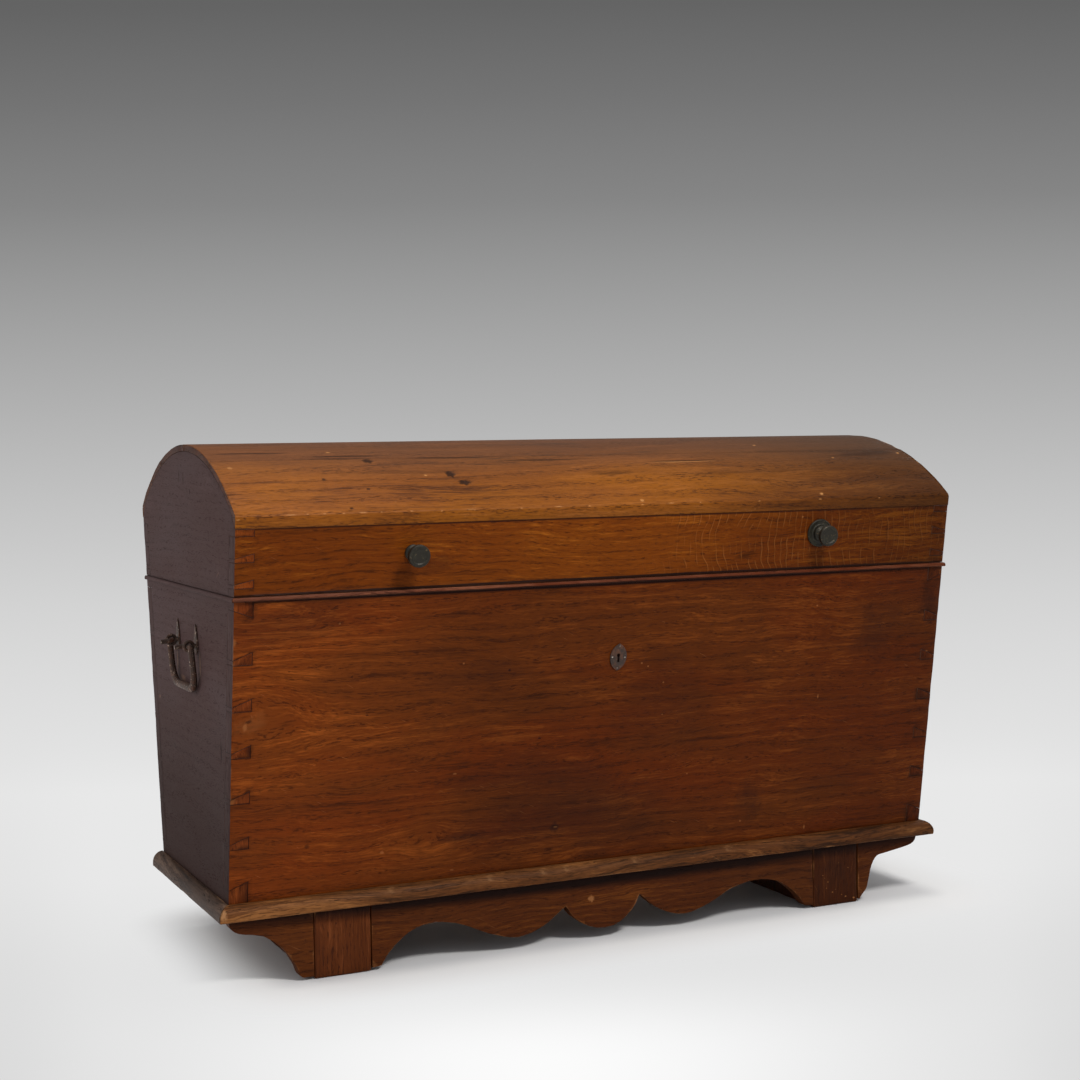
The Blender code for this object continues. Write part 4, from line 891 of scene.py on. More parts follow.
def shells_at(point: Vector) -> set[Shell]:
    """The outer surfaces of the closed chest that a point lies on."""
    found = set()
    if abs(abs(point.x) - HALF_LENGTH) < ON_WALL:
        found.add(Shell.END)
    if abs(point.y - front_plane_y(point.z)) < ON_WALL:
        found.add(Shell.FRONT)
    if abs(2 * MID_Y - point.y - front_plane_y(point.z)) < ON_WALL:
        found.add(Shell.BACK)
    if abs(math.hypot(point.y - MID_Y, point.z - ROOF_CENTRE_Z) - ROOF_RADIUS) < ON_DOME:
        found.add(Shell.ROOF)
    return found


@dataclass(frozen=True)
class Wear:
    """How a board's shape has worn.

    Attributes:
        cell: The size of its mesh cells, in metres.
        arris: The rounding of its outer arrises.
        joint: The rounding of its edges at joints.
        waviness: The depth of its slow hollows.
        rubbing: How far its outer arrises are worn back where they are worn most.
        all_outer: True where every edge of the piece is an outer one.
    """

    cell: float = 0.012
    arris: float = 1.1 * MILLIMETRE
    joint: float = 0.4 * MILLIMETRE
    waviness: float = 0.5 * MILLIMETRE
    rubbing: float = 1.2 * MILLIMETRE
    all_outer: bool = False


@dataclass
class Board:
    """One wooden piece, copied from its CAD node, worn and dressed.

    Attributes:
        node: The CAD node that it stands for.
        body: The body that it rides on.
        finish: Its wood.
        grain: Which way the grain runs.
        outward: The direction of its shown face.
        seed: Picks the cut of the log.
        wear: How it has worn.
        marks: Its stains, dents and chips.
        knots: Its knots, each a place and a radius.
        end_finish: The finish of its end grain, where that shows among other boards.
    """

    node: str
    body: Body
    finish: OakFinish
    grain: Grain
    outward: Vector
    seed: int
    wear: Wear = Wear()
    marks: Marks = ()
    knots: Knots = ()
    end_finish: OakFinish | None = None

    def build(self, workshop: Workshop) -> bpy.types.Object:
        """Makes the worn board and hides its CAD node.

        Args:
            workshop: Makes the materials.

        Returns:
            The new piece.
        """
        bm = bmesh.new()
        bm.from_mesh(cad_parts[self.node].data)
        bmesh.ops.remove_doubles(bm, verts=bm.verts, dist=WELD_GAP)
        bmesh.ops.dissolve_limit(bm, angle_limit=FLAT, verts=bm.verts, edges=bm.edges)
        outer, joint = self._sort_edges(bm)
        outer_line = self._samples(outer)
        joint_line = self._samples(joint)
        self._round(bm, joint, self.wear.joint, Part.JOINT)
        bm.edges.ensure_lookup_table()
        outer, _ = self._sort_edges(bm)
        self._round(bm, outer, self.wear.arris, None)
        self._cut_grid(bm)
        for mark in self.marks:
            if mark.depth:
                self._refine(bm, mark)
        self._sort_faces(bm)
        mesh = bpy.data.meshes.new("worn_" + self.node)
        bm.to_mesh(mesh)
        bm.free()
        self._carve(mesh, outer_line, joint_line)
        piece = add_object("worn_" + self.node, mesh)
        for part in Part:
            mesh.materials.append(self._material(workshop, part))
        mesh.shade_smooth()
        mesh.set_sharp_from_angle(angle=math.radians(38))
        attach(piece, self.body.value)
        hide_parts(self.node)
        log.info("%s: %d faces", piece.name, len(mesh.polygons))
        return piece

    def _material(self, workshop: Workshop, part: Part) -> bpy.types.Material:
        """The material of one kind of face."""
        if part is Part.INSIDE:
            return workshop.oak(BARE_OAK, part, self.grain, INSIDE_SEED + self.seed % INSIDE_LOGS)
        if part is Part.END_GRAIN and self.end_finish:
            return workshop.oak(self.end_finish, part, self.grain, self.seed)
        marks = self.marks if part is Part.FACE else ()
        return workshop.oak(self.finish, part, self.grain, self.seed, marks, self.knots)

    def _sort_edges(self, bm: bmesh.types.BMesh) -> tuple[list, list]:
        """Splits the sharp outward edges into outer arrises and edges at joints."""
        outer, joint = [], []
        for edge in bm.edges:
            if len(edge.link_faces) != 2 or not edge.is_convex or edge.calc_length() < LEAST_EDGE:
                continue
            if edge.calc_face_angle() < SHARP:
                continue
            middle = (edge.verts[0].co + edge.verts[1].co) / 2
            both = shells_at(edge.verts[0].co) & shells_at(middle) & shells_at(edge.verts[1].co)
            (outer if self.wear.all_outer or len(both) > 1 else joint).append(edge)
        return outer, joint

    @staticmethod
    def _samples(edges: list) -> KDTree | None:
        """Points along the edges, for finding the nearest one."""
        points = []
        for edge in edges:
            start, end = (v.co.copy() for v in edge.verts)
            count = max(1, int(edge.calc_length() / EDGE_SAMPLE))
            points += [start.lerp(end, i / count) for i in range(count + 1)]
        if not points:
            return None
        tree = KDTree(len(points))
        for index, point in enumerate(points):
            tree.insert(point, index)
        tree.balance()
        return tree

    @staticmethod
    def _round(bm: bmesh.types.BMesh, edges: list, width: float, part: Part | None) -> None:
        """Rounds edges, and marks the new faces as a part if one is given."""
        if not edges:
            return
        index = -1 if part is None else part.value
        bmesh.ops.bevel(
            bm, geom=edges, offset=width, segments=2, profile=0.5, affect="EDGES", clamp_overlap=True,
            material=index,
        )

    def _cut_grid(self, bm: bmesh.types.BMesh) -> None:
        """Cuts the mesh into cells, so that it can wear unevenly."""
        cell = self.wear.cell * 1
        corner = np.array([v.co for v in bm.verts])
        low, high = corner.min(0), corner.max(0)
        for axis in range(3):
            count = int((high[axis] - low[axis]) / cell)
            normal = Vector((0, 0, 0))
            normal[axis] = 1
            for index in range(1, count):
                place = Vector(low)
                place[axis] = low[axis] + (high[axis] - low[axis]) * index / count + CUT_SHIFT
                geometry = bm.verts[:] + bm.edges[:] + bm.faces[:]
                bmesh.ops.bisect_plane(bm, geom=geometry, dist=CUT_GAP, plane_co=place, plane_no=normal)

    def _refine(self, bm: bmesh.types.BMesh, mark: Mark) -> None:
        """Makes the cells finer round a dent."""
        finest = min(mark.size) * 0.5
        for reach in REFINED:
            radius = max(mark.size) * reach
            shown = [face for face in bm.faces if face.normal.dot(self.outward) > SHOWN]
            near = [face for face in shown if (face.calc_center_median() - mark.place).length < radius]
            edges = {edge for face in near for edge in face.edges if edge.calc_length() > finest}
            if edges:
                bmesh.ops.subdivide_edges(bm, edges=list(edges), cuts=1, use_grid_fill=True)

    def _sort_faces(self, bm: bmesh.types.BMesh) -> None:
        """Gives each face its part: shown face, end grain, joint or inside."""
        along = Vector((0, 0, 0))
        along[self.grain.value[0]] = 1
        for face in bm.faces:
            if face.material_index == Part.JOINT.value:
                continue
            if abs(face.normal.dot(along)) > ACROSS:
                face.material_index = Part.END_GRAIN.value
            elif not self.wear.all_outer and face.normal.dot(self.outward) < -MOSTLY:
                face.material_index = Part.INSIDE.value
            else:
                face.material_index = Part.FACE.value

    def _outer_part(self, co: np.ndarray, normals: np.ndarray) -> np.ndarray:
        """The part of each normal that points out of the chest and not across a joint.

        Args:
            co: The mesh's points.
            normals: Their normals.

        Returns:
            Directions that wear can follow without opening a joint.
        """
        if self.wear.all_outer:
            return normals
        reach = 3 * MILLIMETRE
        at_end = np.abs(co[:, 0]) > HALF_LENGTH - reach
        free = np.zeros_like(normals)
        free[:, 0] = normals[:, 0] * (at_end | (abs(self.outward.x) > MOSTLY))
        if self.outward.z > MOSTLY:
            spoke = co - np.array((0.0, MID_Y, ROOF_CENTRE_Z))
            spoke[:, 0] = 0.0
            spoke /= np.linalg.norm(spoke, axis=1)[:, None]
            return free + spoke * (normals * spoke).sum(1)[:, None]
        half_depth = HALF_DEPTH_AT_RIM + (co[:, 2] - RIM_Z) * WALL_SLOPE
        at_wall = np.abs(co[:, 1] - MID_Y) > half_depth - reach
        free[:, 1] = normals[:, 1] * (at_wall | (abs(self.outward.y) > MOSTLY))
        return free

    @staticmethod
    def _vertex_array(mesh: bpy.types.Mesh, name: str) -> np.ndarray:
        """Three numbers of each of the mesh's points, such as its place."""
        values = np.zeros(len(mesh.vertices) * 3)
        mesh.vertices.foreach_get(name, values)
        return values.reshape(-1, 3)

    @staticmethod
    def _distances(co: np.ndarray, line: KDTree | None) -> np.ndarray:
        """The distance of each point to the nearest sample, or far off where there is none."""
        return np.array([line.find(p)[2] for p in co]) if line else np.full(len(co), FAR_OFF)

    def _carve(self, mesh: bpy.types.Mesh, outer: KDTree | None, joint: KDTree | None) -> None:
        """Hollows the faces, wears the arrises back, presses the dents in and paints wear and grime.

        Args:
            mesh: The board's mesh.
            outer: Points along its outer arrises.
            joint: Points along its edges at joints.
        """
        co, normals = self._vertex_array(mesh, "co"), self._vertex_array(mesh, "normal")
        from_arris, from_joint = self._distances(co, outer), self._distances(co, joint)
        slow = sum(smooth_noise(co, period, seed) * share for period, seed, share in HOLLOWS)
        rub = sum(smooth_noise(co, period, seed) * share for period, seed, share in RUBBINGS)
        inward = slow * self.wear.waviness
        near = np.exp(-((from_arris / RUBBED_REACH) ** 2))
        inward = inward + near * np.clip(rub * RUB_GAIN - RUB_START, 0, 1) * self.wear.rubbing
        for mark in self.marks:
            if mark.depth:
                away = (co - np.array(mark.place)) / np.array(mark.size)
                inward = inward + np.exp(-(away**2).sum(1) * DENT_STEEPNESS) * mark.depth
        co = co - self._outer_part(co, normals) * inward[:, None]
        mesh.vertices.foreach_set("co", co.ravel())
        wear = np.exp(-((from_arris / PAINTED_REACH) ** 2)) * (LEAST_WEAR + rub)
        grime = np.exp(-((from_joint / GRIME_REACH) ** 2))
        for name, values in (("wear", wear), ("grime", grime)):
            layer = mesh.attributes.new(name, "FLOAT", "POINT")
            layer.data.foreach_set("value", values.astype(np.float32))
        mesh.update()


# Sub-assemblies

FRONTWARD = Vector((0, -1, 0))
BACKWARD = Vector((0, 1, 0))
LEFTWARD = Vector((-1, 0, 0))
RIGHTWARD = Vector((1, 0, 0))
UPWARD = Vector((0, 0, 1))


def speck(place: Vector, half: float, strength: float, depth: float = 0.0, tall: float = 1.0) -> Mark:
    """A small mark: half is half its length in millimetres, tall how much taller than long it is."""
    wide = half * MILLIMETRE
    return Mark(place, (wide, wide * max(1.0, tall), wide * tall), strength, depth * MILLIMETRE)


def cloud(place: Vector, size: Triple, strength: float, soft: float = 0.9) -> Mark:
    """A wide ragged stain or pale place."""
    return Mark(place, size, strength, 0.0, 0.9, soft)


def line(z: float, half: float, strength: float, ragged: float, soft: float) -> Mark:
    """A dark line of painted shade along the whole front at height z, where parts meet or overhang."""
    return Mark(on_front(0.0, z), (0.95, 0.03, half), strength, 0.0, ragged, soft)


FRONT_MARKS = (
    *(speck(on_front(x, z), *rest) for x, z, *rest in (
        (-0.4853, 0.1982, 5, -0.5, 0.8), (-0.3699, 0.1761, 4, 0.4, 0.8), (-0.0897, 0.1847, 10, -0.6),
        (-0.0877, 0.1857, 4, 0.6, 1.0, 0.5), (-0.2841, 0.1243, 3, 0.5, 0.5, 0.5),
        (-0.2572, 0.1368, 4, 0.4, 0.5, 0.5), (-0.2521, 0.4526, 2, 0.5), (-0.1776, 0.4374, 3, -0.8, 0.8),
        (-0.1226, 0.3285, 3.5, -0.8, 0.8, 0.6), (-0.2588, 0.2858, 4, 0.55, 0.5, 0.4),
        (0.0454, 0.4337, 2, 0.6, 0.5), (0.0568, 0.428, 2, 0.6), (0.0856, 0.4006, 2, 0.55, 0.4),
        (0.0871, 0.3495, 2, 0.4), (-0.5804, 0.3822, 4, 0.4, 0.6, 2.0), (-0.4452, 0.5229, 2, 0.6),
        (-0.3997, 0.3861, 3, -0.7, 0.5, 0.6), (-0.4247, 0.4445, 2.5, -0.6), (0.3593, 0.5072, 2, 0.6, 0.4),
        (0.3744, 0.3568, 1.5, 0.6, 0.3, 3.0), (0.5833, 0.4181, 3, 0.55, 0.5), (0.4667, 0.427, 2, -0.6),
        (0.2432, 0.1607, 2, 0.6), (0.1386, 0.2492, 1.5, 0.6), (0.3675, 0.1374, 2, 0.5, 0.3, 2.5),
        (0.0193, 0.2379, 2.5, -0.5),
    )),
    cloud(on_front(0.48, 0.45), (0.05, 0.05, 0.07), -0.35),
    cloud(on_front(0.585, 0.50), (0.03, 0.04, 0.05), -0.5),
    Mark(on_front(-0.05, 0.19), (0.26, 0.07, 0.10), -0.45, 0.0, 0.8, 0.9),
    cloud(on_front(-0.52, 0.525), (0.16, 0.06, 0.05), -0.35),
    # Painted shade under the bead
    line(0.5600, 0.0030, -0.9, 0.2, 0.6),
    cloud(on_front(0.26, 0.19), (0.035, 0.03, 0.045), -0.4),
    cloud(on_front(-0.16, 0.27), (0.17, 0.05, 0.045), -0.3),
    cloud(on_front(-0.22, 0.43), (0.14, 0.05, 0.03), -0.25),
    Mark(on_front(-0.57, 0.385), (0.03, 0.03, 0.022), 0.16, 0.0, 1.0, 0.9),
    Mark(on_front(-0.575, 0.39), (0.006, 0.02, 0.004), -0.6, 0.3 * MILLIMETRE, 0.9, 0.7),
    cloud(on_front(-0.24, 0.185), (0.055, 0.02, 0.012), -0.45, 0.8),
    cloud(on_front(0.10, 0.36), (0.12, 0.05, 0.12), -0.22),
)
LID_FRONT_MARKS = (
    speck(on_front(0.3188, 0.6515), 2, 0.6, 0.5),
    # Painted shade in the gap along the lid's lower edge
    line(0.5695, 0.0032, -0.92, 0.2, 0.5),
    # Painted shade under the roof's eave strip
    line(0.6624, 0.0034, -0.85, 0.3, 0.6),
    cloud(on_front(-0.30, 0.60), (0.05, 0.03, 0.02), -0.3),
    Mark(on_front(-0.595, 0.657), (0.012, 0.01, 0.006), 0.7, 0.5 * MILLIMETRE, 0.7, 0.5),
)
# Painted shade on the bead's lower half
PAINTED_SHADE_ON_BEAD = line(0.5618, 0.0026, -0.85, 0.2, 0.7)
EAVE_CHIPS = tuple(
    Mark(on_front(x, z), (half * MILLIMETRE, 0.003, 0.0011), 0.55, 0.4 * MILLIMETRE, 0.9, 0.7)
    for x, z, half in (
        (-0.5958, 0.6755, 4), (-0.52, 0.6801, 9), (-0.4965, 0.6804, 2), (-0.4717, 0.6802, 3),
        (-0.4439, 0.680, 2.5), (-0.415, 0.6803, 7), (-0.3874, 0.6803, 2), (-0.3421, 0.6804, 3),
        (-0.2961, 0.6791, 2), (-0.25, 0.6803, 9), (-0.1702, 0.6795, 2.5), (-0.11, 0.6801, 8),
        (-0.0589, 0.6796, 3), (0.0302, 0.679, 3.5), (0.08, 0.6802, 7), (0.1309, 0.680, 2),
        (0.2366, 0.679, 2.5), (0.3492, 0.679, 4), (0.4618, 0.678, 2),
    )
)
ROOF_MARKS = (
    Mark(on_roof(-0.3628, -0.1463), (0.010, 0.010, 0.01), -0.8, 0.0, 0.9, 0.6),
    cloud(on_roof(-0.40, -0.135), (0.07, 0.004, 0.005), -0.5, 0.8),
    Mark(on_roof(-0.25, -0.193), (0.009, 0.012, 0.01), -0.85, 1.0 * MILLIMETRE, 0.8, 0.5),
    Mark(on_roof(-0.236, -0.215), (0.012, 0.008, 0.01), -0.85, 1.0 * MILLIMETRE, 0.8, 0.5),
    cloud(on_roof(0.51, -0.155), (0.08, 0.02, 0.02), -0.5),
    Mark(on_roof(0.16, -0.166), (0.07, 0.003, 0.004), -0.7, 0.5 * MILLIMETRE, 0.7, 0.6),
    cloud(on_roof(0.16, -0.170), (0.06, 0.002, 0.003), 0.5, 0.6),
    cloud(on_roof(0.02, -0.20), (0.05, 0.012, 0.01), -0.45, 0.8),
    *(
        Mark(on_roof(x, y), (0.085, 0.005, 0.006), -0.6, 0.3 * MILLIMETRE, 0.8, 0.7)
        for x, y in ((-0.524, -0.103), (-0.38, -0.124), (-0.228, -0.138), (-0.076, -0.153))
    ),
    cloud(on_roof(-0.30, -0.185), (0.14, 0.012, 0.012), -0.3),
    cloud(on_roof(0.25, -0.205), (0.22, 0.014, 0.014), -0.3),
    cloud(on_roof(0.40, -0.235), (0.16, 0.012, 0.012), -0.25),
    *(speck(on_roof(x, y), *rest) for x, y, *rest in (
        (-0.4489, -0.1994, 4, -0.8, 0.6), (-0.3909, -0.2253, 4, -0.8, 0.6, 0.6),
        (-0.4292, -0.2619, 4, -0.8, 0.6, 0.6), (-0.4103, -0.1032, 4, 0.6, 0.5),
        (-0.2905, -0.1946, 3, 0.6, 0.6), (0.033, -0.2631, 4, 0.6, 0.6), (0.3572, -0.261, 4, 0.6, 0.6),
        (0.4426, -0.1666, 3, 0.5), (0.5824, -0.1532, 4, 0.6, 0.4), (-0.5758, -0.1613, 5, 0.4, 0.5),
        (0.3306, -0.102, 4, 0.5, 0.4),
    )),
    *EAVE_CHIPS,
)
LEFT_MARKS = (
    Mark(on_left(-0.166, 0.34), (0.004, 0.002, 0.02), -0.9, 0.8 * MILLIMETRE, 0.6, 0.5),
    Mark(on_left(0.078, 0.447), (0.004, 0.007, 0.022), 0.4, 0.3 * MILLIMETRE, 0.5, 0.8),
    Mark(on_left(0.045, 0.424), (0.004, 0.020, 0.007), 0.3, 0.0, 0.5, 0.8),
    Mark(on_left(-0.058, 0.452), (0.004, 0.007, 0.026), 0.42, 0.3 * MILLIMETRE, 0.5, 0.8),
    speck(on_left(0.2043, 0.377), 4, 0.5, 0.6),
)
LID_LEFT_MARKS = tuple(
    Mark(on_left(y, z), (0.003, 0.0016, tall), -0.9, 0.6 * MILLIMETRE, 0.5, 0.5)
    for y, z, tall in ((0.042, 0.732, 0.012), (0.017, 0.7255, 0.010), (-0.021, 0.71, 0.006))
)
# Painted shade: a dark band on the base's front under the moulding's overhang
PAINTED_SHADE_UNDER_MOULDING = Mark(on_base(0.0, 0.102), (0.95, 0.06, 0.025), -0.9, 0.0, 0.12, 0.55)
APRON_MARKS = (
    PAINTED_SHADE_UNDER_MOULDING,
    Mark(on_base(-0.0236, 0.0647), (0.007, 0.006, 0.006), 0.6, 0.5 * MILLIMETRE, 0.7, 0.6),
    cloud(on_base(0.26, 0.085), (0.05, 0.01, 0.012), -0.4),
)
RIGHT_RUNNER_MARKS = (
    *(speck(on_base(x, z), half, 0.6, 0.5, 0.6) for x, z, half in (
        (0.405, 0.052, 1.3), (0.409, 0.047, 0.9), (0.415, 0.040, 1.6), (0.412, 0.030, 1.2),
        (0.424, 0.022, 1.8), (0.430, 0.026, 0.9), (0.442, 0.016, 1.4), (0.450, 0.012, 2.2),
        (0.466, 0.008, 3.0), (0.436, 0.070, 1.0), (0.455, 0.060, 1.2),
    )),
    PAINTED_SHADE_UNDER_MOULDING,
    cloud(on_base(0.43, 0.06), (0.03, 0.01, 0.03), -0.35),
)
MOULDING_MARKS = (
    Mark(Vector((-0.612, -0.20, 0.115)), (0.008, 0.012, 0.01), 0.8, 0.8 * MILLIMETRE, 0.7, 0.6),
    # Pale places along the moulding: partly rubbed wood, partly painted highlight
    *(
        cloud(Vector((x, -0.192, 0.118)), (0.018, 0.01, 0.006), 0.35, 0.8)
        for x in (-0.36, -0.20, -0.11, -0.07, 0.05, 0.22)
    ),
    *(
        cloud(Vector((x, -0.192, 0.115)), (0.022, 0.01, 0.006), -0.45, 0.8)
        for x in (-0.45, -0.28, -0.02, 0.14, 0.33, 0.48)
    ),
)


@dataclass
class Assembly:
    """A group of pieces that belong together."""

    workshop: Workshop
    body: Body = Body.CHEST

    def dress(self, nodes: tuple[str, ...], material: bpy.types.Material, rounding: float = 0.3) -> None:
        """Gives CAD pieces a material and rounds their edges a little.

        Args:
            nodes: The CAD nodes.
            material: The material.
            rounding: The width of the rounded edges, in millimetres.
        """
        for name in nodes:
            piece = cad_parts[name]
            piece.data.materials.clear()
            piece.data.materials.append(material)
            weld = piece.modifiers.new("weld", "WELD")
            weld.merge_threshold = WELD_GAP
            bevel = piece.modifiers.new("rounding", "BEVEL")
            bevel.width = rounding * MILLIMETRE
            bevel.segments = 2
            bevel.limit_method = "ANGLE"
            bevel.angle_limit = math.radians(35)
            bevel.harden_normals = True

    def board(
        self, node: str, finish: OakFinish, grain: Grain, outward: Vector, seed: int, **more: object,
    ) -> bpy.types.Object:
        """Builds one worn board that rides on this group's body.

        Args:
            node: The CAD node that it stands for.
            finish: Its wood.
            grain: Which way the grain runs.
            outward: The direction of its shown face.
            seed: Picks the cut of the log.
            **more: Its wear, marks, knots and end_finish, where it has its own.

        Returns:
            The piece.
        """
        return Board(node, self.body, finish, grain, outward, seed, **more).build(self.workshop)


@dataclass
class Base(Assembly):
    """Runners, brackets, apron and base moulding."""

    fine: Wear = Wear(
        cell=0.010, arris=1.0 * MILLIMETRE, waviness=0.4 * MILLIMETRE, rubbing=1.6 * MILLIMETRE,
        all_outer=True,
    )
    shaped: Wear = replace(fine, arris=0.5 * MILLIMETRE, rubbing=0.9 * MILLIMETRE)

    def build(self) -> None:
        """Builds the base."""
        for node, finish, grain, seed, wear, marks in (
            ("left_runner", RUNNER_OAK, Grain.UPRIGHT, 21, self.fine, (PAINTED_SHADE_UNDER_MOULDING,)),
            ("right_runner", RUNNER_OAK, Grain.UPRIGHT, 22, self.fine, RIGHT_RUNNER_MARKS),
            ("left_bracket", BASE_OAK, Grain.LENGTHWAYS, 23, self.fine, (PAINTED_SHADE_UNDER_MOULDING,)),
            ("right_bracket", BASE_OAK, Grain.LENGTHWAYS, 24, self.fine, (PAINTED_SHADE_UNDER_MOULDING,)),
            ("front_apron", BASE_OAK, Grain.LENGTHWAYS, 25, self.fine, APRON_MARKS),
            ("front_moulding", MOULDING_OAK, Grain.LENGTHWAYS, 26, self.shaped, MOULDING_MARKS),
        ):
            self.board(node, finish, grain, FRONTWARD, seed, wear=wear, marks=marks)
        self.board("left_moulding", END_MOULDING_OAK, Grain.ENDWAYS, LEFTWARD, 27, wear=self.shaped)
        self.board("right_moulding", END_MOULDING_OAK, Grain.ENDWAYS, RIGHTWARD, 28, wear=self.shaped)


@dataclass
class Carcase(Assembly):
    """The four walls, the beads and the bottom."""

    knots: Knots = ((on_front(-0.565, 0.39), 0.06), (on_front(-0.30, 0.19), 0.03))

    def build(self) -> None:
        """Builds the body."""
        long_way, end_way = Grain.LENGTHWAYS, Grain.ENDWAYS
        front = {"marks": FRONT_MARKS, "knots": self.knots, "end_finish": TAIL_OAK}
        self.board("front_board", FRONT_OAK, long_way, FRONTWARD, 1, **front)
        self.board("back_board", BACK_OAK, long_way, BACKWARD, 2, end_finish=TAIL_OAK)
        self.board("left_end_board", END_OAK, end_way, LEFTWARD, 3, marks=LEFT_MARKS, end_finish=PIN_OAK)
        self.board("right_end_board", END_OAK, end_way, RIGHTWARD, 4, end_finish=PIN_OAK)
        bead = self.workshop.oak(BEAD_OAK, Part.FACE, long_way, 5, (PAINTED_SHADE_ON_BEAD,))
        end_bead = self.workshop.oak(END_OAK, Part.FACE, end_way, 6)
        bottom = self.workshop.oak(BARE_OAK, Part.FACE, Grain.LENGTHWAYS_LYING, 7)
        self.dress(("front_bead",), bead, 0.2)
        self.dress(("left_bead", "right_bead"), end_bead, 0.2)
        self.dress(tuple(f"bottom_board_{k}" for k in (1, 2, 3)), bottom, 1.0)


@dataclass
class Lid(Assembly):
    """The lid's walls and the coopered dome."""

    body: Body = Body.LID
    tight: Wear = Wear(joint=0.15 * MILLIMETRE, rubbing=1.7 * MILLIMETRE)

    def build(self) -> None:
        """Builds the lid."""
        long_way, end_way = Grain.LENGTHWAYS, Grain.ENDWAYS
        front = {"marks": LID_FRONT_MARKS, "end_finish": TAIL_OAK}
        self.board("lid_front_board", LID_FRONT_OAK, long_way, FRONTWARD, 11, **front)
        self.board("lid_back_board", BACK_OAK, long_way, BACKWARD, 12, end_finish=TAIL_OAK)
        pins = {"end_finish": LID_PIN_OAK}
        self.board("lid_left_end", END_OAK, end_way, LEFTWARD, 13, marks=LID_LEFT_MARKS, **pins)
        self.board("lid_right_end", END_OAK, end_way, RIGHTWARD, 14, **pins)
        for k in (1, 2, 3, 4):
            finish = replace(ROOF_OAK, name=f"roof_{k}")
            more = {"wear": self.tight, "marks": ROOF_MARKS if k < 3 else (), "end_finish": ROOF_EDGE_OAK}
            self.board(f"roof_board_{k}", finish, Grain.LENGTHWAYS_LYING, UPWARD, 14 + k, **more)


@dataclass(frozen=True)
class Nail:
    """A hand-made nail's head.

    Attributes:
        place: The middle of its underside.
        facing: Where it faces.
        radius: Its radius, in metres.
        rise: Its height, in metres.
        sides: How many sides it has.
        profile: Its outline from below, each point a share of the radius and of the height.
    """

    place: Vector
    facing: Vector
    radius: float
    rise: float
    sides: int = 12
    profile: tuple[tuple[float, float], ...] = ((1.0, -0.2), (1.0, 0.3), (0.82, 0.72), (0.45, 0.95))

    def add_to(self, bm: bmesh.types.BMesh, seed: int) -> None:
        """Adds the head to a mesh.

        Args:
            bm: The mesh.
            seed: Picks how uneven it is.
        """
        turn = self.facing.to_track_quat("Z", "Y")
        uneven = np.random.default_rng(seed).uniform(0.9, 1.06, self.sides)
        rings = []
        for share, height in self.profile:
            ring = []
            for k in range(self.sides):
                angle = math.tau * k / self.sides
                reach = self.radius * share * uneven[k]
                point = Vector((reach * math.cos(angle), reach * math.sin(angle), self.rise * height))
                ring.append(bm.verts.new(self.place + turn @ point))
            rings.append(ring)
        for lower, upper in zip(rings, rings[1:]):
            for k in range(self.sides):
                n = (k + 1) % self.sides
                bm.faces.new((lower[k], lower[n], upper[n], upper[k]))
        bm.faces.new(rings[-1])
        bm.faces.new(list(reversed(rings[0])))


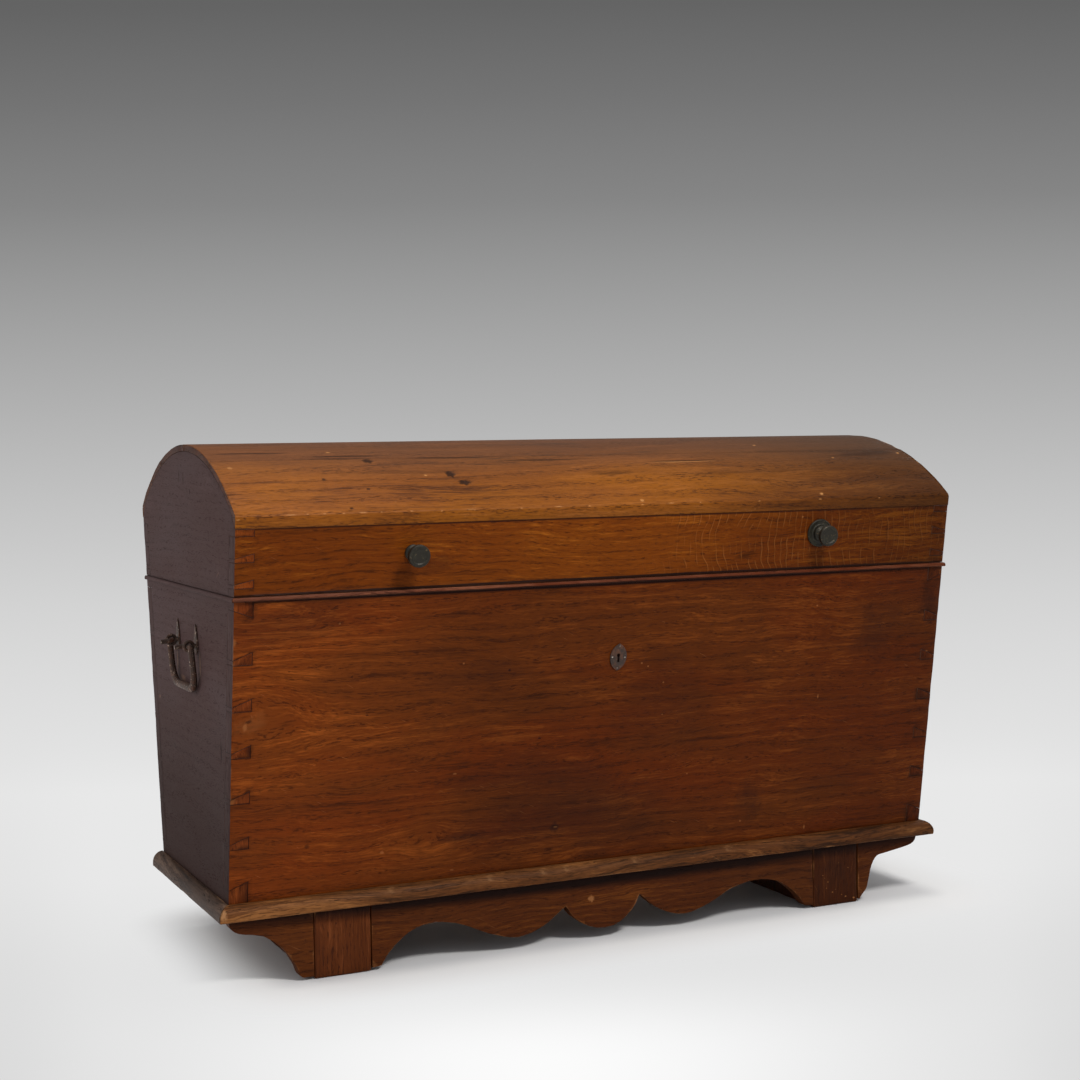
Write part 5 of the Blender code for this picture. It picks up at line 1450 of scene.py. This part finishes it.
@dataclass
class Ironwork(Assembly):
    """Hinges, lock, handles, knobs and their nails."""

    key_plate: Vector = on_front(0.003, 0.4465)
    tilt: float = math.radians(5)
    plate_out: float = 2.3 * MILLIMETRE
    pin_high: float = 17.2 * MILLIMETRE
    pin_wide: float = 10.8 * MILLIMETRE
    rose_out: float = 2.1 * MILLIMETRE
    rose_y: float = 0.054
    rose_nail_z: float = 0.4995
    strap_out: float = 3.3 * MILLIMETRE
    hinge_x: float = 0.380
    leaf_nails: tuple[float, ...] = (-0.022, -0.080, -0.120, -0.150)
    strap_nails: tuple[float, ...] = (0.020, 0.045, 0.070)

    def build(self) -> None:
        """Dresses the metalwork and adds the nails that hold it."""
        iron = self.workshop.metal(WROUGHT_IRON)
        bronze = self.workshop.metal(KNOB_BRONZE)
        sides = ("left", "right")
        ends = ("front", "back")
        self.dress(tuple(f"{s}_hinge_{p}" for s in sides for p in ("leaf", "strap", "pin")), iron)
        self.dress(tuple(f"{s}_{e}_{p}" for s in sides for e in ends for p in ("eye", "rose")), iron, 0.2)
        self.dress(("left_bail", "right_bail"), iron, 0.4)
        self.dress(("lock_plate", "lock_case", "lid_staple"), iron)
        self.dress(("left_knob_nut", "right_knob_nut"), iron, 0.4)
        self.dress(("escutcheon",), self.workshop.metal(KEY_PLATE_IRON), 0.25)
        self.dress(("lock_bolt",), self.workshop.metal(BRIGHT_IRON))
        self.dress(("left_knob", "right_knob", "right_knob_rose"), bronze)
        self._nails("key_plate_pins", Body.CHEST, self._key_plate_pins())
        self._nails("rose_nails", Body.CHEST, self._rose_nails())
        self._nails("hinge_leaf_nails", Body.CHEST, self._hinge_nails(self.leaf_nails))
        self._nails("hinge_strap_nails", Body.LID, self._hinge_nails(self.strap_nails))

    def _key_plate_pins(self) -> list[Nail]:
        """The four pins of the escutcheon, which hangs a little askew."""
        facing = Vector((0, -1, -WALL_SLOPE)).normalized()
        up = Vector((0, -WALL_SLOPE, 1)).normalized()
        long_way = up * math.cos(self.tilt) + RIGHTWARD * math.sin(self.tilt)
        short_way = RIGHTWARD * math.cos(self.tilt) - up * math.sin(self.tilt)
        face = self.key_plate + facing * self.plate_out
        ways = (long_way * self.pin_high, short_way * self.pin_wide)
        spots = [way * side for way in ways for side in (1, -1)]
        return [Nail(face + spot, facing, 1.4 * MILLIMETRE, 0.9 * MILLIMETRE) for spot in spots]

    def _rose_nails(self) -> list[Nail]:
        """One nail above each eye."""
        nails = []
        for side in (-1, 1):
            x = side * (HALF_LENGTH + self.rose_out)
            for y in (MID_Y - self.rose_y, MID_Y + self.rose_y):
                place = Vector((x, y, self.rose_nail_z))
                nails.append(Nail(place, RIGHTWARD * side, 2.0 * MILLIMETRE, 1.1 * MILLIMETRE))
        return nails

    def _hinge_nails(self, heights: tuple[float, ...]) -> list[Nail]:
        """Nails down the middle of both hinges, at distances up the back from the lid line."""
        facing = Vector((0, 1, -WALL_SLOPE)).normalized()
        up = Vector((0, WALL_SLOPE, 1)).normalized()
        nails = []
        for side in (-1, 1):
            rim = Vector((side * self.hinge_x, MID_Y + HALF_DEPTH_AT_RIM, RIM_Z)) + facing * self.strap_out
            nails += [Nail(rim + up * rise, facing, 2.6 * MILLIMETRE, 0.8 * MILLIMETRE) for rise in heights]
        return nails

    def _nails(self, name: str, body: Body, nails: list[Nail]) -> bpy.types.Object:
        """Makes one piece of several nails.

        Args:
            name: The piece's name.
            body: The body that it rides on.
            nails: The nails.

        Returns:
            The piece.
        """
        bm = bmesh.new()
        for seed, nail in enumerate(nails):
            nail.add_to(bm, seed)
        mesh = bpy.data.meshes.new(name)
        bm.to_mesh(mesh)
        bm.free()
        mesh.shade_smooth()
        mesh.set_sharp_from_angle(angle=math.radians(50))
        mesh.materials.append(self.workshop.metal(NAIL_IRON))
        piece = add_object(name, mesh)
        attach(piece, body.value)
        log.info("%s: %d nails", name, len(nails))
        return piece


# Studio


@dataclass(frozen=True)
class Camera:
    """The photo's viewpoint.

    Attributes:
        place: Where it stands, in metres.
        yaw: How far it looks to the right of straight back, in radians.
        pitch: How far it looks down.
        roll: How far it leans.
        lens: Its lens, in millimetres.
        sensor: The width of its sensor, in millimetres.
    """

    place: Vector = Vector((-1.2713, -2.6961, 0.7752))
    yaw: float = 0.4356
    pitch: float = 0.0535
    roll: float = -0.0148
    lens: float = 60.74
    sensor: float = 36

    def heading(self) -> Vector:
        """The level direction that it looks in."""
        return Vector((math.sin(self.yaw), math.cos(self.yaw), 0))

    def build(self) -> bpy.types.Object:
        """Makes the camera and makes it the scene's own."""
        ahead = self.heading() * math.cos(self.pitch) - UPWARD * math.sin(self.pitch)
        right = Vector((math.cos(self.yaw), -math.sin(self.yaw), 0))
        up = right.cross(ahead)
        level_right = right * math.cos(self.roll) + up * math.sin(self.roll)
        level_up = -right * math.sin(self.roll) + up * math.cos(self.roll)
        data = bpy.data.cameras.new("photo_camera")
        data.sensor_width = self.sensor
        data.lens = self.lens
        camera = add_object("photo_camera", data)
        turn = Matrix((level_right, level_up, -ahead)).transposed().to_4x4()
        camera.matrix_world = Matrix.Translation(self.place) @ turn
        bpy.context.scene.camera = camera
        return camera


@dataclass(frozen=True)
class Lamp:
    """A soft lamp aimed at a point.

    Attributes:
        name: Its name.
        place: Where it hangs.
        target: What it is aimed at.
        size: Its width and height, in metres.
        power: Its power, in watts.
        tint: Its colour.
    """

    name: str
    place: Vector
    target: Vector
    size: tuple[float, float]
    power: float
    tint: Color = (1.0, 0.98, 0.95)

    def build(self) -> bpy.types.Object:
        """Makes the lamp."""
        data = bpy.data.lights.new(self.name, "AREA")
        data.shape = "RECTANGLE"
        data.size, data.size_y = self.size
        data.energy = self.power
        data.color = self.tint
        lamp = add_object(self.name, data)
        lamp.location = self.place
        lamp.rotation_mode = "QUATERNION"
        lamp.rotation_quaternion = (self.target - self.place).to_track_quat("-Z", "Y")
        lamp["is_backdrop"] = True
        return lamp


@dataclass
class Studio:
    """The pale sweep of floor and backdrop, the lamps and the camera.

    Attributes:
        camera: The camera, which the sweep is square to.
        behind: How far the floor goes on behind the camera, in metres.
        floor_end: How far ahead of the camera the floor starts to rise.
        reach: How far ahead the wall stands.
        top: The wall's height.
        half_width: Half the sweep's width.
        least_ahead: The nearest distance that the slope of the line of sight is worked out for.
        shades: The photo's grey by the slope of the line of sight, from the near floor to high up the wall.
        lamps: The lamps.
        pool_narrowness: How narrow the pool of light before the chest is.
        pool_slopes: The slopes of the line of sight where it starts and where it is full.
        pool_gain: How much it brightens the floor.
        side_angles: How far aside the dimmer sides start and are full.
        side_slopes: The slopes where they start and where they are full.
        side_loss: How much they dim the floor.
        sky: The colour of the light from all round.
        sky_strength: Its strength.
        shadow_middle: The middle of the floor that takes real light and shadow.
        shadow_half: Half that floor's size.
        shadow_fade: The distance over which it fades into the photo's greys.
        painted_shadow_paper: The paper's colour under the chest, darker there as painted shadow.
        far_paper: The paper's colour round it.
        paper_fade: The distance over which the first becomes the second.
    """

    camera: Camera = field(default_factory=Camera)
    behind: float = 4.0
    floor_end: float = 5.6
    reach: float = 7.2
    top: float = 6.0
    half_width: float = 9.0
    least_ahead: float = 0.4
    shades: tuple[tuple[float, int], ...] = (
        (-0.34, 222), (-0.28, 227), (-0.24, 232), (-0.19, 232), (-0.165, 226), (-0.115, 217), (-0.087, 211),
        (-0.032, 195), (0.023, 177), (0.078, 157), (0.132, 133), (0.188, 115), (0.237, 100), (0.33, 84),
    )
    lamps: tuple[Lamp, ...] = (
        Lamp("key", Vector((0.35, -2.1, 2.6)), Vector((0.1, 0.0, 0.35)), (0.7, 0.6), 62.0),
        Lamp("overhead", Vector((-0.3, 0.2, 3.0)), Vector((0.0, 0.0, 0.6)), (1.6, 1.2), 16.0),
        Lamp("back_right", Vector((2.6, 0.9, 1.4)), Vector((0.6, 0.0, 0.5)), (0.8, 0.9), 15.0),
        Lamp("back_left", Vector((-2.7, 1.2, 1.5)), Vector((-0.6, 0.0, 0.5)), (0.7, 0.9), 17.0),
    )
    pool_narrowness: float = 27.0
    pool_slopes: tuple[float, float] = (-0.285, -0.345)
    pool_gain: float = 0.32
    side_angles: tuple[float, float] = (0.24, 0.31)
    side_slopes: tuple[float, float] = (-0.12, -0.26)
    side_loss: float = -0.05
    sky: Color = (0.97, 0.98, 1.0)
    sky_strength: float = 0.53
    shadow_middle: Triple = (0.05, MID_Y, 0.0)
    shadow_half: Triple = (0.55, 0.19, 9.0)
    shadow_fade: float = 0.17
    painted_shadow_paper: Color = (0.62, 0.62, 0.63)
    far_paper: Color = (0.80, 0.80, 0.80)
    paper_fade: float = 0.06

    def build(self) -> None:
        """Makes the whole studio."""
        self.camera.build()
        for lamp in self.lamps:
            lamp.build()
        self._sweep()
        self._sky()

    def _sweep(self) -> None:
        """The floor, curving up into the wall, square to the camera's heading."""
        heading = self.camera.heading()
        side = Vector((heading.y, -heading.x, 0))
        ground = Vector((self.camera.place.x, self.camera.place.y, 0))
        bend = self.reach - self.floor_end
        profile = [(-self.behind, 0.0), (self.floor_end, 0.0)]
        for turn in np.linspace(0.1, math.pi / 2, 16):
            profile.append((self.floor_end + bend * math.sin(turn), bend * (1 - math.cos(turn))))
        profile.append((self.reach, self.top))
        edges = (-side * self.half_width, side * self.half_width)
        vertices = [ground + heading * ahead + edge + UPWARD * z for ahead, z in profile for edge in edges]
        faces = [(2 * i, 2 * i + 1, 2 * i + 3, 2 * i + 2) for i in range(len(profile) - 1)]
        mesh = bpy.data.meshes.new("sweep")
        mesh.from_pydata(vertices, [], faces)
        mesh.shade_smooth()
        mesh.materials.append(self._paper(heading, side, ground))
        sweep = add_object("sweep", mesh)
        sweep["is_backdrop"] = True

    def _glow(self, graph: Graph, slope: Socket, sideways: Socket) -> Socket:
        """The photo's greys by the line of sight, with its pool of light below and its dimmer sides."""
        low, high = self.shades[0][0], self.shades[-1][0]
        ramp = graph.add("ValToRGB")
        stops = ramp.color_ramp.elements
        while len(stops) < len(self.shades):
            stops.new(0.5)
        for stop, (tilt, grey) in zip(stops, self.shades):
            stop.position = (tilt - low) / (high - low)
            stop.color = (*srgb(grey, grey, grey), 1.0)
        graph.feed(ramp.inputs[0], graph.ratio(graph.less(slope, low), high - low))
        near = graph.span(slope, *self.pool_slopes, 0.0, self.pool_gain)
        pool = graph.product(graph.bell(sideways, self.pool_narrowness), near)
        dimmer = graph.span(slope, *self.side_slopes, 0.0, self.side_loss)
        sides = graph.product(graph.step(sideways, *self.side_angles), dimmer)
        strength = graph.total(1.0, graph.total(pool, sides))
        return graph.add("Emission", None, Color=ramp.outputs[0], Strength=strength).outputs[0]

    def _paper(self, heading: Vector, side: Vector, ground: Vector) -> bpy.types.Material:
        """White paper that takes shadows and painted shadow near the chest and fades to the photo's greys
        round it.

        Args:
            heading: The level direction that the camera looks in.
            side: The level direction to its right.
            ground: The point of the floor under the camera.

        Returns:
            The material.
        """
        material, graph, shader = principled("studio_paper")
        place = graph.add("NewGeometry").outputs["Position"]
        from_camera = graph.vector("SUBTRACT", place, tuple(ground))
        ahead = graph.vector("DOT_PRODUCT", from_camera, tuple(heading))
        ahead = graph.math("MAXIMUM", ahead, self.least_ahead)
        slope = graph.ratio(graph.less(graph.split(place)[2], self.camera.place.z), ahead)
        aside = graph.vector("DOT_PRODUCT", from_camera, tuple(side))
        glow = self._glow(graph, slope, graph.math("ABSOLUTE", graph.ratio(aside, ahead)))
        shader.inputs["Roughness"].default_value = 0.9
        shader.inputs["Specular IOR Level"].default_value = 0.0
        from_middle = graph.vector("ABSOLUTE", graph.vector("SUBTRACT", place, self.shadow_middle))
        beyond = graph.vector("MAXIMUM", graph.vector("SUBTRACT", from_middle, self.shadow_half), ORIGIN)
        away = graph.vector("LENGTH", beyond)
        # Painted shadow: darker paper under the chest
        paper = graph.blend(graph.step(away, 0.0, self.paper_fade), self.painted_shadow_paper, self.far_paper)
        graph.feed(shader.inputs["Base Color"], paper)
        path = graph.add("LightPath").outputs
        seen = graph.math("MAXIMUM", path["Is Camera Ray"], path["Is Glossy Ray"])
        mix = graph.add("MixShader")
        share = graph.product(graph.step(away, 0.0, self.shadow_fade), seen)
        for socket, value in zip(mix.inputs, (share, shader.outputs[0], glow)):
            graph.feed(socket, value)
        out = next(node for node in graph.tree.nodes if node.type == "OUTPUT_MATERIAL")
        graph.feed(out.inputs["Surface"], mix.outputs[0])
        return material

    def _sky(self) -> None:
        """A plain soft light from all round."""
        world = bpy.data.worlds.new("studio_light")
        world.use_nodes = True
        back = world.node_tree.nodes["Background"]
        back.inputs["Color"].default_value = (*self.sky, 1.0)
        back.inputs["Strength"].default_value = self.sky_strength
        bpy.context.scene.world = world


def report(title: str) -> tuple[list[float], list[float]]:
    """Logs the bounds of what is shown.

    Args:
        title: What is being measured.

    Returns:
        The lowest and highest corner as plain lists.
    """
    low, high = (list(corner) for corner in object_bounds())
    log.info("%s: %s to %s", title, [round(v, 4) for v in low], [round(v, 4) for v in high])
    return low, high


def main() -> None:
    """Builds the studio and dresses the chest, piece by piece."""
    logging.basicConfig(level=logging.INFO, format="%(name)s %(message)s")
    bpy.context.view_layer.update()
    cad_low, cad_high = report("CAD box")
    scene = bpy.context.scene
    scene.view_settings.view_transform = "Standard"
    workshop = Workshop()
    for assembly in (Base, Carcase, Lid, Ironwork):
        log.info("building the %s", assembly.__name__.lower())
        assembly(workshop).build()
    Studio().build()
    bpy.context.view_layer.update()
    low, high = report("visual box")


if __name__ == "__main__":
    main()
